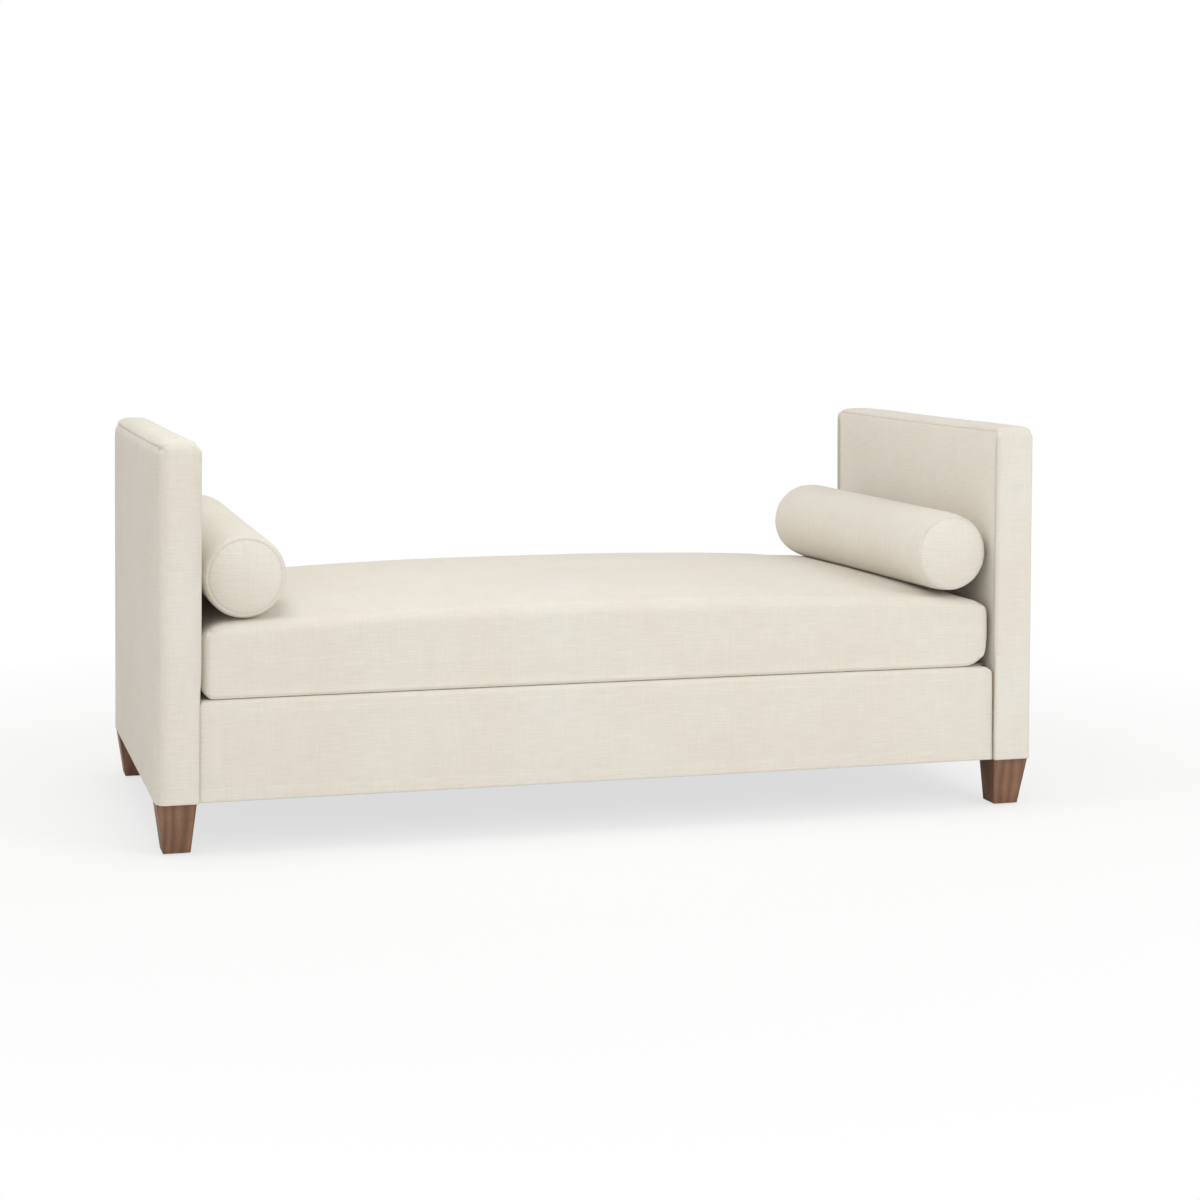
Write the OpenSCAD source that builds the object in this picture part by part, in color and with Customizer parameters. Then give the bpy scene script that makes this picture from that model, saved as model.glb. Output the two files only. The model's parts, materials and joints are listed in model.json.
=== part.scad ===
// Upholstered divan with two equal arms and no back: a hardwood frame in three bolted sections,
// a sprung deck, one loose crowned cushion, two round bolsters and four tapered legs.
// The origin is on the floor under the middle, +X runs along the width, -Y is the front and +Z is up.

/* [Overall size] */
// Width over both arms
overall_w = 1830; // [1500:10:2200]
// Depth of the arms from front to back
overall_d = 900; // [800:10:1000]
// Height of the arms above the floor
overall_h = 795; // [720:5:900]

/* [Legs] */
// Height of the floor to the top of a leg
leg_h = 100; // [80:1:130]
// Width of a leg at its top, across the arm
leg_top_w = 77; // [66:1:80]
// Depth of a leg at its top, along the arm
leg_top_d = 75; // [66:1:86]
// Width of a leg at its foot
leg_foot_w = 53; // [44:1:60]
// Depth of a leg at its foot
leg_foot_d = 55; // [44:1:60]
// Inset of the leg's top from the outer face of the arm
leg_side_inset = 3.5; // [1:0.5:6]
// Inset of the leg's top from the front or back of the arm
leg_front_inset = 12.5; // [8:0.5:20]
// Inset of the foot from the outer face of the arm
foot_side_inset = 18; // [10:1:22]
// Inset of the foot from the front or back of the arm
foot_front_inset = 32; // [20:1:36]
// Diameter of the nail-on glide under a foot
glide_d = 24; // [16:1:30]
// Thickness of the glide's pad
glide_t = 3; // [2:0.5:6]
// Diameter of the glide's nail
glide_nail_d = 2.4; // [1.6:0.2:3.2]
// Length of the glide's nail in the leg
glide_nail_l = 16; // [10:1:24]

/* [Arms] */
// Thickness of an arm over its cover
arm_t = 85; // [80:1:100]
// Radius of the arm's long top edges
arm_edge_r = 18; // [9:1:20]
// Radius where the arm's boxing folds over at the front and back
arm_fold_r = 18; // [8:1:20]
// Radius of the arm's upright corners
arm_corner_r = 10; // [4:1:11]
// Radius of the arm's bottom edges
arm_foot_r = 4; // [2.5:0.5:8]
// Thickness of the upholstery fabric
cover_t = 1.5; // [1:0.1:2]
// Width of the fabric turned in under the arm
hem_w = 28; // [18:1:32]
// Padding on the arm's outer face
arm_outer_pad = 10; // [6:1:14]
// Padding on the arm's inner face, above the seat
arm_inner_pad = 20; // [12:1:24]
// Padding on top of the arm
arm_top_pad = 28; // [20:1:36]
// Padding on the front and back ends of the arm
arm_end_pad = 12; // [8:1:18]
// Thickness of the hardboard panels on the arm frame
panel_t = 4; // [3:0.5:6]
// Depth of a post in the arm frame
post_d = 70; // [60:1:90]
// Height of the arm's bottom rail
arm_bottom_rail_h = 50; // [46:1:60]
// Height of the arm's top rail
arm_top_rail_h = 35; // [28:1:50]
// Height of the arm's middle rail
arm_middle_rail_h = 54; // [46:1:64]

/* [Seat base] */
// Height of the deck and rail tops above the floor
deck_h = 297; // [275:1:330]
// Distance of the rail's face behind the arm's front
rail_setback = 10; // [4:1:20]
// Radius of the padded top edge of a seat rail
rail_edge_r = 9; // [6:1:14]
// Padding on the face of a seat rail
rail_face_pad = 8; // [5:1:12]
// Padding on top of a seat rail
rail_top_pad = 12; // [9:1:16]
// Thickness of the seat base's rails
rail_t = 32; // [26:1:36]
// Thickness of the ledgers that carry the springs
ledger_t = 28; // [24:1:36]
// Height of the ledgers
ledger_height = 40; // [30:1:46]
// Height of the cross rails
cross_rail_h = 46; // [36:1:50]
// Thickness of the cross rails
cross_rail_t = 30; // [24:1:40]
// Length of the corner blocks along each rail
corner_block_l = 90; // [80:1:110]
// Height of the corner blocks
corner_block_h = 46; // [40:1:52]
// Thickness of the dust cover under the seat
dust_cover_t = 1; // [0.6:0.1:2]
// Distance of the dust cover's edge from the cover's edge
dust_cover_inset = 12; // [8:1:20]

/* [Springs and deck] */
// Number of sinuous springs
spring_count = 9; // [6:1:11]
// Diameter of the spring wire
spring_wire_d = 3.8; // [3.2:0.1:4.2]
// Width of a sinuous spring
spring_w = 50; // [44:1:60]
// Number of straight bars in a spring
spring_bars = 27; // [25:2:31]
// Rise of the arched springs at mid span
spring_rise = 22; // [14:1:28]
// Thickness of the spring clips
clip_t = 1.2; // [0.8:0.1:1.6]
// Width of the spring clips
clip_w = 13; // [10:1:14]
// Diameter of the stay wires across the springs
stay_wire_d = 3.2; // [2:0.1:4]
// Thickness of the felt insulator over the springs
insulator_t = 3; // [2:0.5:5]
// Thickness of the deck padding at mid span
deck_pad_t = 20; // [12:1:28]

/* [Seat cushion] */
// Gap between the cushion and each arm
cushion_side_gap = 4; // [2:0.5:8]
// Distance of the cushion's face behind the arm's front
cushion_setback = 16; // [12:1:30]
// Height of the cushion at its ends
cushion_edge_h = 141; // [120:1:160]
// Rise of the crown along the width
crown_along = 24; // [10:1:36]
// Further rise of the crown from the edges to the middle
crown_across = 20; // [8:1:30]
// Radius of the cushion's soft top edge
cushion_top_r = 24; // [16:1:30]
// Radius of the cushion's bottom edge
cushion_bottom_r = 12; // [8:1:16]
// Radius of the cushion's corners in plan
cushion_corner_r = 38; // [34:1:60]
// How far the cushion's ends are drawn in between the corners
cushion_draw_end = 5; // [2:0.5:8]
// How far the cushion's front and back are drawn in between the corners
cushion_draw_side = 4; // [2:0.5:6]
// How far the boxing swells at half its height
cushion_bulge = 2; // [1:0.5:3]
// Length of the zip in the rear boxing
zip_l = 960; // [700:10:1100]
// Width of the zip
zip_w = 10; // [8:0.5:14]
// Thickness of the zip
zip_t = 1.2; // [0.8:0.1:1.6]

/* [Bolsters] */
// Diameter of a bolster
bolster_d = 163; // [130:1:180]
// Length of a bolster between its end seams
bolster_l = 768; // [600:2:780]
// Radius of the rolled edge at a bolster's end
bolster_edge_r = 13; // [6:1:16]
// Rise of a bolster's domed end
bolster_dome_h = 14; // [6:1:16]
// Gap between the left bolster's middle and its arm
left_bolster_gap = 6; // [4:0.5:12]
// Gap between the right bolster's middle and its arm
right_bolster_gap = 23; // [21:0.5:28]
// Turn of the left bolster in plan, in degrees
left_bolster_turn = 0.3; // [0:0.1:0.5]
// Turn of the right bolster in plan, in degrees
right_bolster_turn = 2.8; // [0:0.1:2.9]
// Rise of the left bolster towards the back, in degrees
left_bolster_tilt = 1.1; // [0:0.1:2]
// Rise of the right bolster towards the back, in degrees
right_bolster_tilt = 0; // [0:0.1:1.5]
// Place of the left bolster's middle in front of the cushion's middle
left_bolster_forward = 24; // [0:1:32]
// Place of the right bolster's middle in front of the cushion's middle
right_bolster_forward = 40; // [0:1:44]

/* [Fasteners] */
// Diameter of the bolts at the legs and the frame
bolt_d = 8; // [6:0.5:9]
// Outer diameter of the threaded inserts
insert_d = 12; // [11:0.5:14]
// Length of the threaded inserts under the legs
leg_insert_l = 16; // [12:1:18]
// Depth of the leg bolt in the leg
leg_bolt_depth = 42; // [30:1:50]
// Diameter of the frame bolt's head
bolt_head_d = 14; // [12:0.5:16]
// Height of the frame bolt's head
bolt_head_h = 5; // [4:0.5:8]
// Diameter of the flange under the frame bolt's head
flange_d = 22; // [18:1:26]
// Thickness of the flange under the frame bolt's head
flange_t = 1.6; // [1:0.2:2.4]
// Distance of the frame bolts from the middle of the depth
frame_bolt_y = 270; // [220:5:280]
// Height of the lower frame bolts above the frame's bottom
frame_bolt_low = 34; // [24:1:50]
// Distance of the upper frame bolts below the rail's top
frame_bolt_high = 44; // [34:1:60]
// Diameter of the wooden dowels
dowel_d = 10; // [8:0.5:12]
// Depth of a dowel in each piece
dowel_depth = 22; // [16:1:24]
// Distance between the two dowels of a joint
dowel_spacing = 34; // [28:1:40]
// Diameter of the corner block screws
screw_d = 5; // [4:0.5:6]
// Diameter of the screw's head
screw_head_d = 9; // [8:0.5:11]
// Height of the screw's head
screw_head_h = 3; // [2:0.5:4]
// Wood left under the screw's head
screw_seat = 18; // [14:1:22]
// Depth of the screw in the rail
screw_depth = 20; // [14:1:24]

/* [Hidden] */

$fn = 64;
// Sides and ends of the divan
left = -1;
right = 1;
front = -1;
rear = 1;

// Overrun of a cut past the face that it starts from
cut = 1;
// Running fit of a bolt, dowel or nail in its hole
fit = 0.05;
// Space between a soft piece and what it rests on or wraps
soft_gap = 0.3;
// Facets of very large circles, and of the wire where it bends
arch_facets = 720;
bend_facets = 24;

// Main planes
half_w = overall_w / 2;
half_d = overall_d / 2;
under_z = leg_h + dust_cover_t;
frame_z = under_z + cover_t;
arm_face_x = half_w - arm_t;

// Arm frame
post_out_x = half_w - cover_t - arm_outer_pad - panel_t;
post_in_x = arm_face_x + cover_t + arm_inner_pad + panel_t;
post_w = post_out_x - post_in_x;
post_mid_x = (post_out_x + post_in_x) / 2;
arm_frame_y = half_d - cover_t - arm_end_pad;
arm_frame_top_z = overall_h - cover_t - arm_top_pad;
post_z = frame_z + arm_bottom_rail_h;
post_top_z = arm_frame_top_z - arm_top_rail_h;
post_mid_y = arm_frame_y - post_d / 2;

// Seat base
rail_face_y = half_d - rail_setback;
rail_out_y = rail_face_y - cover_t - rail_face_pad;
rail_in_y = rail_out_y - rail_t;
rail_top_z = deck_h - cover_t - rail_top_pad;
deck_under_z = deck_h - cover_t;
end_rail_x = arm_face_x - rail_t;
middle_rail_z = rail_top_z - arm_middle_rail_h / 2;

// Springs, along an arc from the front ledger to the rear one
wire_r = spring_wire_d / 2;
spring_half = rail_in_y - ledger_t / 2;
spring_mid_z = deck_under_z - deck_pad_t - insulator_t - soft_gap - wire_r;
spring_end_z = spring_mid_z - spring_rise;
arch_r = (pow(spring_half, 2) + pow(spring_rise, 2)) / (2 * spring_rise);
arch_z = spring_mid_z - arch_r;
arch_half_angle = asin(spring_half / arch_r);
arch_step = 2 * arch_half_angle / (spring_bars - 1);
bar_pitch = 2 * arch_r * sin(arch_step / 2);
bar_half = (spring_w - spring_wire_d - bar_pitch) / 2;
spring_spacing = 2 * end_rail_x / spring_count;
ledger_z = spring_end_z - wire_r - clip_t;
felt_in_r = arch_r + wire_r + soft_gap;
felt_out_r = felt_in_r + insulator_t;
// The wire is drawn a little thinner in its bends, and each bar laps into them
bend_share = 0.97;
bar_lap = soft_gap;
clip_ring_r = wire_r + fit;
clip_foot_l = ledger_t / 2 - clip_t;
// The stay wires cross the springs this share of the bars away from each end
stay_share = 1 / 4;
stay_bar = floor((spring_bars - 1) * stay_share) + 1 / 2;

// Leg and bolt places, from the middle planes
leg_x = half_w - leg_side_inset - leg_top_w / 2;
leg_y = half_d - leg_front_inset - leg_top_d / 2;
foot_x = half_w - foot_side_inset - leg_foot_w / 2;
foot_y = half_d - foot_front_inset - leg_foot_d / 2;
bolt_r = bolt_d / 2;
insert_r = insert_d / 2;
frame_bolt_places = [
    for (y = [-frame_bolt_y, frame_bolt_y], z = [frame_z + frame_bolt_low, rail_top_z - frame_bolt_high]) [y, z]
];
frame_insert_l = post_in_x - arm_face_x - cover_t;

// Corner block and its screws
block_z = ledger_z - ledger_height - corner_block_h;
screw_in_share = 2 / 3;
screw_height_shares = [1 / 4, 3 / 4];

// Seat cushion
cushion_z = deck_h + soft_gap;
cushion_half_w = arm_face_x - cushion_side_gap;
cushion_half_d = half_d - cushion_setback;
cushion_mid_z = cushion_z + cushion_edge_h / 2;
crown_along_power = 2.6;
crown_across_power = 2.4;
crown_end_power = 0.6;
draw_power = 5;
// A quarter turn's middle point lies this share of the radius inside the corner
round_share = 1 - sqrt(1 / 2);
corner_steps = 3;
long_side_points = 11;
short_side_points = 7;
// Rings of the crowned top, as shares of the way out from the middle
top_ring_shares = [0.92, 0.82, 0.6, 0.3];
core_inset = cover_t + soft_gap;

// Bolsters
bolster_r = bolster_d / 2;
bolster_rim_r = bolster_r - bolster_edge_r;
dome_r = (pow(bolster_rim_r, 2) + pow(bolster_dome_h, 2)) / (2 * bolster_dome_h);
bolster_samples = 24;
// Steps along each curve of the bolster core's outline
outline_steps = 5;

// Children drawn on the right are mirrored to the asked side
module at_side(side) {
    if (side == left) mirror([1, 0, 0]) children();
    else children();
}

// Children drawn at the rear are mirrored to the asked end
module at_end(end) {
    if (end == front) mirror([0, 1, 0]) children();
    else children();
}

// A box between two corners
module box(low, high) {
    translate(low) cube(high - low);
}

// A rod along X, from one place to another
module rod_x(x0, x1, y, z, r) {
    translate([x0, y, z]) rotate([0, 90, 0]) cylinder(r = r, h = x1 - x0);
}

// A rod along Y, from one place to another
module rod_y(y0, y1, x, z, r) {
    translate([x, y0, z]) rotate([-90, 0, 0]) cylinder(r = r, h = y1 - y0);
}

// A rectangle whose corners are rounded, each by its own radius or not at all, from low left anticlockwise
module soft_rectangle(low, high, radii) {
    corners = [low, [high.x, low.y], high, [low.x, high.y]];
    turns = [0, 90, 180, 270];
    difference() {
        translate(low) square(high - low);
        for (k = [0 : 3]) if (radii[k] > 0) translate(corners[k]) rotate(turns[k]) difference() {
            translate([-cut, -cut]) square(radii[k] + cut);
            translate([radii[k], radii[k]]) circle(radii[k]);
        }
    }
}

// Legs

// A four-sided taper, wider at the top, made where two wedges cross
module leg_block() {
    intersection() {
        translate([0, half_d, 0]) rotate([90, 0, 0]) linear_extrude(overall_d) polygon([
            [half_w - foot_side_inset - leg_foot_w, glide_t],
            [half_w - foot_side_inset, glide_t],
            [half_w - leg_side_inset, leg_h],
            [half_w - leg_side_inset - leg_top_w, leg_h]
        ]);
        rotate([90, 0, 90]) linear_extrude(half_w) polygon([
            [half_d - foot_front_inset - leg_foot_d, glide_t],
            [half_d - foot_front_inset, glide_t],
            [half_d - leg_front_inset, leg_h],
            [half_d - leg_front_inset - leg_top_d, leg_h]
        ]);
    }
}

module leg(side, end) {
    color("saddlebrown") at_side(side) at_end(end) difference() {
        leg_block();
        translate([leg_x, leg_y, leg_h - leg_bolt_depth]) cylinder(r = bolt_r + fit, h = leg_bolt_depth + cut);
        translate([foot_x, foot_y, glide_t - cut]) cylinder(d = glide_nail_d + 2 * fit, h = glide_nail_l + cut);
    }
}

module each_leg() {
    for (side = [left, right], end = [front, rear]) at_side(side) at_end(end) children();
}

module foot_glides() {
    color("dimgray") each_leg() translate([foot_x, foot_y, 0]) {
        cylinder(d = glide_d, h = glide_t);
        cylinder(d = glide_nail_d, h = glide_t + glide_nail_l - cut);
    }
}

module leg_bolts() {
    color("silver") each_leg() translate([leg_x, leg_y, leg_h - leg_bolt_depth])
        cylinder(r = bolt_r, h = leg_bolt_depth + under_z - leg_h + cover_t + leg_insert_l);
}

module leg_inserts() {
    color("goldenrod") each_leg() translate([leg_x, leg_y, frame_z]) difference() {
        cylinder(r = insert_r, h = leg_insert_l);
        translate([0, 0, -cut]) cylinder(r = bolt_r + fit, h = leg_insert_l + 2 * cut);
    }
}

// Arm frame, drawn on the right

// Dowels that stand at the foot or head of a post
module post_dowels(end, z, r) {
    at_end(end) for (y = [-1, 1] * dowel_spacing / 2)
        translate([post_mid_x, post_mid_y + y, z - dowel_depth]) cylinder(r = r, h = 2 * dowel_depth);
}

// Dowels that lie along the depth, from a post into the middle rail
module middle_rail_dowels(end, r) {
    at_end(end) for (z = [-1, 1] * dowel_spacing / 2)
        rod_y(arm_frame_y - post_d - dowel_depth, arm_frame_y - post_d + dowel_depth, post_mid_x, middle_rail_z + z, r);
}

module frame_dowels() {
    color("burlywood") for (side = [left, right], end = [front, rear]) at_side(side) {
        post_dowels(end, post_z, dowel_d / 2);
        post_dowels(end, post_top_z, dowel_d / 2);
        middle_rail_dowels(end, dowel_d / 2);
    }
}

module arm_bottom_rail(side) {
    color("tan") at_side(side) difference() {
        box([post_in_x, -arm_frame_y, frame_z], [post_out_x, arm_frame_y, post_z]);
        for (end = [front, rear]) {
            post_dowels(end, post_z, dowel_d / 2 + fit);
            at_end(end) translate([leg_x, leg_y, frame_z - cut]) cylinder(r = insert_r + fit, h = leg_insert_l + cut + fit);
        }
    }
}

module arm_top_rail(side) {
    color("tan") at_side(side) difference() {
        box([post_in_x, -arm_frame_y, post_top_z], [post_out_x, arm_frame_y, arm_frame_top_z]);
        for (end = [front, rear]) post_dowels(end, post_top_z, dowel_d / 2 + fit);
    }
}

module arm_post(side, end) {
    color("burlywood") at_side(side) difference() {
        at_end(end) box([post_in_x, arm_frame_y - post_d, post_z], [post_out_x, arm_frame_y, post_top_z]);
        post_dowels(end, post_z, dowel_d / 2 + fit);
        post_dowels(end, post_top_z, dowel_d / 2 + fit);
        middle_rail_dowels(end, dowel_d / 2 + fit);
    }
}

module arm_middle_rail(side) {
    rail_end_y = arm_frame_y - post_d;
    color("tan") at_side(side) difference() {
        box(
            [post_in_x, -rail_end_y, middle_rail_z - arm_middle_rail_h / 2],
            [post_out_x, rail_end_y, middle_rail_z + arm_middle_rail_h / 2]
        );
        for (end = [front, rear]) middle_rail_dowels(end, dowel_d / 2 + fit);
    }
}

// The board that the seat base is bolted to, below the padding of the arm's inner face.
// Its lower edge is rounded to clear the fold of the cover.
module arm_mounting_board(side) {
    color("peru") at_side(side) difference() {
        translate([0, arm_frame_y, 0]) rotate([90, 0, 0]) linear_extrude(2 * arm_frame_y)
            soft_rectangle([arm_face_x + cover_t, frame_z], [post_in_x, rail_top_z], [arm_foot_r, 0, 0, 0]);
        for (p = frame_bolt_places) rod_x(arm_face_x, post_in_x + cut, p.x, p.y, insert_r + fit);
    }
}

module arm_outer_panel(side) {
    color("sienna") at_side(side)
        box([post_out_x, -arm_frame_y, frame_z], [post_out_x + panel_t, arm_frame_y, arm_frame_top_z]);
}

module arm_inner_panel(side) {
    color("sienna") at_side(side)
        box([post_in_x - panel_t, -arm_frame_y, rail_top_z], [post_in_x, arm_frame_y, arm_frame_top_z]);
}

// The arm's outer form, drawn in all round by the inset: three outlines cross to round every edge
module arm_form(inset) {
    low_x = arm_face_x + inset;
    high_x = half_w - inset;
    low_z = under_z + inset;
    high_z = overall_h - inset;
    y = half_d - inset;
    edge_r = arm_edge_r - inset;
    fold_r = arm_fold_r - inset;
    foot_r = arm_foot_r - inset;
    corner_r = arm_corner_r - inset;
    intersection() {
        translate([0, y, 0]) rotate([90, 0, 0]) linear_extrude(2 * y)
            soft_rectangle([low_x, low_z], [high_x, high_z], [foot_r, foot_r, edge_r, edge_r]);
        translate([low_x - cut, 0, 0]) rotate([90, 0, 90]) linear_extrude(high_x - low_x + 2 * cut)
            soft_rectangle([-y, low_z - cut], [y, high_z], [0, 0, fold_r, fold_r]);
        translate([0, 0, low_z - cut]) linear_extrude(high_z - low_z + 2 * cut)
            soft_rectangle([low_x, -y], [high_x, y], [corner_r, corner_r, corner_r, corner_r]);
    }
}

module arm_padding(side) {
    color("lightyellow") at_side(side) difference() {
        arm_form(cover_t);
        box([post_in_x - panel_t, -arm_frame_y, frame_z - cut], [post_out_x + panel_t, arm_frame_y, arm_frame_top_z]);
        box([arm_face_x, -arm_frame_y, frame_z - cut], [post_in_x, arm_frame_y, rail_top_z]);
    }
}

module arm_cover(side) {
    color("linen") at_side(side) difference() {
        arm_form(0);
        arm_form(cover_t);
        box(
            [arm_face_x + hem_w, hem_w - half_d, under_z - cut],
            [half_w - hem_w, half_d - hem_w, frame_z + cut]
        );
        for (end = [front, rear]) at_end(end)
            translate([leg_x, leg_y, under_z - cut]) cylinder(r = insert_r, h = cover_t + 2 * cut);
        for (p = frame_bolt_places) rod_x(arm_face_x - cut, arm_face_x + 2 * cut, p.x, p.y, bolt_r + 2 * fit);
    }
}

// Seat base

module seat_rail(end) {
    color("tan") at_end(end) difference() {
        box([-arm_face_x, rail_in_y, frame_z], [arm_face_x, rail_out_y, rail_top_z]);
        for (side = [left, right]) at_side(side) rail_screws(fit);
    }
}

module end_rail(side) {
    color("burlywood") at_side(side) difference() {
        box([end_rail_x, -rail_in_y, frame_z], [arm_face_x, rail_in_y, deck_under_z]);
        for (end = [front, rear]) at_end(end) end_rail_screws(fit);
        for (p = frame_bolt_places) rod_x(end_rail_x - cut, arm_face_x + cut, p.x, p.y, bolt_r + 2 * fit);
    }
}

module cross_rails() {
    rail_x = end_rail_x / 3;
    color("burlywood") for (side = [left, right]) at_side(side)
        box([rail_x - cross_rail_t / 2, -rail_in_y, frame_z], [rail_x + cross_rail_t / 2, rail_in_y, frame_z + cross_rail_h]);
}

module spring_ledger(end) {
    color("peru") at_end(end)
        box([-end_rail_x, rail_in_y - ledger_t, ledger_z - ledger_height], [end_rail_x, rail_in_y, ledger_z]);
}

// A screw along +Z, its head's top at zero, with what its hole needs around it
module block_screw(room) {
    cylinder(r = screw_d / 2 + room, h = screw_seat + screw_depth);
    translate([0, 0, -screw_head_h]) cylinder(r = screw_head_d / 2 + room, h = screw_head_h);
}

// Screws from a corner block into the seat rail
module rail_screws(room) {
    for (s = screw_height_shares)
        translate([end_rail_x - corner_block_l * screw_in_share, rail_in_y - screw_seat, block_z + corner_block_h * s])
            rotate([-90, 0, 0]) block_screw(room);
}

// Screws from a corner block into the end rail
module end_rail_screws(room) {
    for (s = screw_height_shares)
        translate([end_rail_x - screw_seat, rail_in_y - corner_block_l * screw_in_share, block_z + corner_block_h * s])
            rotate([0, 90, 0]) block_screw(room);
}

// Room in front of a screw's head for the driver
module driver_room() {
    for (s = screw_height_shares) {
        translate([end_rail_x - corner_block_l * screw_in_share, rail_in_y - screw_seat, block_z + corner_block_h * s])
            rotate([90, 0, 0]) cylinder(d = screw_head_d + 2 * cut, h = corner_block_l);
        translate([end_rail_x - screw_seat, rail_in_y - corner_block_l * screw_in_share, block_z + corner_block_h * s])
            rotate([0, -90, 0]) cylinder(d = screw_head_d + 2 * cut, h = corner_block_l);
    }
}

module corner_blocks() {
    color("navajowhite") each_leg() difference() {
        translate([end_rail_x, rail_in_y, block_z]) linear_extrude(corner_block_h)
            polygon([[0, 0], [-corner_block_l, 0], [0, -corner_block_l]]);
        rail_screws(fit);
        end_rail_screws(fit);
        driver_room();
    }
}

module corner_block_screws() {
    color("silver") each_leg() {
        rail_screws(0);
        end_rail_screws(0);
    }
}

module frame_bolts() {
    color("silver") for (side = [left, right], p = frame_bolt_places) at_side(side) {
        rod_x(end_rail_x - flange_t, arm_face_x + cover_t + frame_insert_l - cut, p.x, p.y, bolt_r);
        rod_x(end_rail_x - flange_t, end_rail_x, p.x, p.y, flange_d / 2);
        rod_x(end_rail_x - flange_t - bolt_head_h, end_rail_x - flange_t, p.x, p.y, bolt_head_d / 2);
    }
}

module frame_bolt_inserts() {
    color("goldenrod") for (side = [left, right], p = frame_bolt_places) at_side(side) difference() {
        rod_x(arm_face_x + cover_t, post_in_x, p.x, p.y, insert_r);
        rod_x(arm_face_x, post_in_x + cut, p.x, p.y, bolt_r + fit);
    }
}

// Springs: each is one wire of straight bars joined by half loops, bent along an arch

function arch_angle(bar) = bar * arch_step - arch_half_angle;
function arch_place(bar) = [0, arch_r * sin(arch_angle(bar)), arch_z + arch_r * cos(arch_angle(bar))];

module spring_bar(bar) {
    translate(arch_place(bar)) rod_x(-bar_half - bar_lap, bar_half + bar_lap, 0, 0, wire_r);
}

// The half loop from one bar to the next, on the right on even bars and on the left on odd ones
module spring_loop(bar) {
    middle = (arch_place(bar) + arch_place(bar + 1)) / 2;
    translate([0, middle.y, middle.z]) rotate([-arch_angle(bar + 1 / 2), 0, 0])
        mirror([bar % 2, 0, 0]) translate([bar_half, 0, 0]) rotate([0, 0, -90])
            rotate_extrude(angle = 180) translate([bar_pitch / 2, 0]) circle(wire_r * bend_share, $fn = bend_facets);
}

module sinuous_spring() {
    for (bar = [0 : spring_bars - 1]) {
        spring_bar(bar);
        if (bar < spring_bars - 1) spring_loop(bar);
    }
}

module each_spring() {
    for (k = [0 : spring_count - 1]) translate([(k - (spring_count - 1) / 2) * spring_spacing, 0, 0]) children();
}

module sinuous_springs() {
    color("gray") each_spring() sinuous_spring();
}

// A clip that grips a spring's end bar and is nailed to the ledger
module spring_clips() {
    color("silver") each_spring() for (end = [front, rear]) at_end(end)
        translate([-clip_w / 2, spring_half, spring_end_z]) rotate([90, 0, 90]) linear_extrude(clip_w) difference() {
            union() {
                circle(clip_ring_r + clip_t);
                translate([0, -wire_r - clip_t]) square([clip_foot_l, clip_t]);
            }
            circle(clip_ring_r);
            translate([-2 * clip_ring_r, -wire_r - clip_t - cut]) square([4 * clip_ring_r, cut]);
        }
}

module stay_wires() {
    stay = arch_place(stay_bar);
    stay_r = stay_wire_d / 2;
    color("gray") for (end = [front, rear]) at_end(end)
        rod_x(-end_rail_x, end_rail_x, -stay.y, stay.z - wire_r - soft_gap - stay_r, stay_r);
}

// Deck

// A band that follows the springs' arch, or all that lies above it, between two limits of depth
module arch_band(in_r, half, top_z) {
    difference() {
        translate([-half, spring_end_z - spring_rise]) square([2 * half, top_z - spring_end_z + spring_rise]);
        translate([0, arch_z]) circle(in_r, $fn = arch_facets);
    }
}

module spring_insulator() {
    half = spring_half - clip_ring_r - clip_t - cut;
    color("darkkhaki") translate([-end_rail_x, 0, 0]) rotate([90, 0, 90]) linear_extrude(2 * end_rail_x) intersection() {
        arch_band(felt_in_r, half, deck_under_z);
        translate([0, arch_z]) circle(felt_out_r, $fn = arch_facets);
    }
}

module deck_padding() {
    color("lightyellow") translate([-end_rail_x, 0, 0]) rotate([90, 0, 90]) linear_extrude(2 * end_rail_x)
        arch_band(felt_out_r, rail_in_y, deck_under_z);
}

module deck_cover() {
    color("antiquewhite") box([-arm_face_x, -rail_in_y, deck_under_z], [arm_face_x, rail_in_y, deck_h]);
}

module dust_cover() {
    edge_x = half_w - dust_cover_inset;
    edge_y = rail_face_y - dust_cover_inset;
    color("dimgray") difference() {
        box([-edge_x, -edge_y, leg_h], [edge_x, edge_y, under_z]);
        each_leg() translate([leg_x, leg_y, leg_h - cut]) cylinder(r = insert_r, h = dust_cover_t + 2 * cut);
    }
}

// The upholstered section of a seat rail, drawn in by the inset, with room at its open inner side
module rail_outline(inset, room) {
    soft_rectangle(
        [rail_in_y - room, under_z + inset],
        [rail_face_y - inset, deck_h - inset],
        [0, arm_foot_r - inset, rail_edge_r - inset, 0]
    );
}

module along_rail() {
    translate([-arm_face_x, 0, 0]) rotate([90, 0, 90]) linear_extrude(2 * arm_face_x) children();
}

module rail_padding(end) {
    color("lightyellow") at_end(end) along_rail() difference() {
        rail_outline(cover_t, cut);
        translate([rail_in_y - 2 * cut, frame_z - cut])
            square([rail_t + 2 * cut, rail_top_z - frame_z + cut]);
        translate([rail_in_y - 2 * cut, frame_z]) square([2 * cut, deck_h]);
    }
}

module rail_cover(end) {
    color("linen") at_end(end) along_rail() difference() {
        rail_outline(0, cut);
        rail_outline(cover_t, 3 * cut);
        translate([rail_in_y - 2 * cut, under_z - cut]) square([2 * cut, deck_h]);
    }
}

// Seat cushion: rings of points up the boxing and in over the crown

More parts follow.
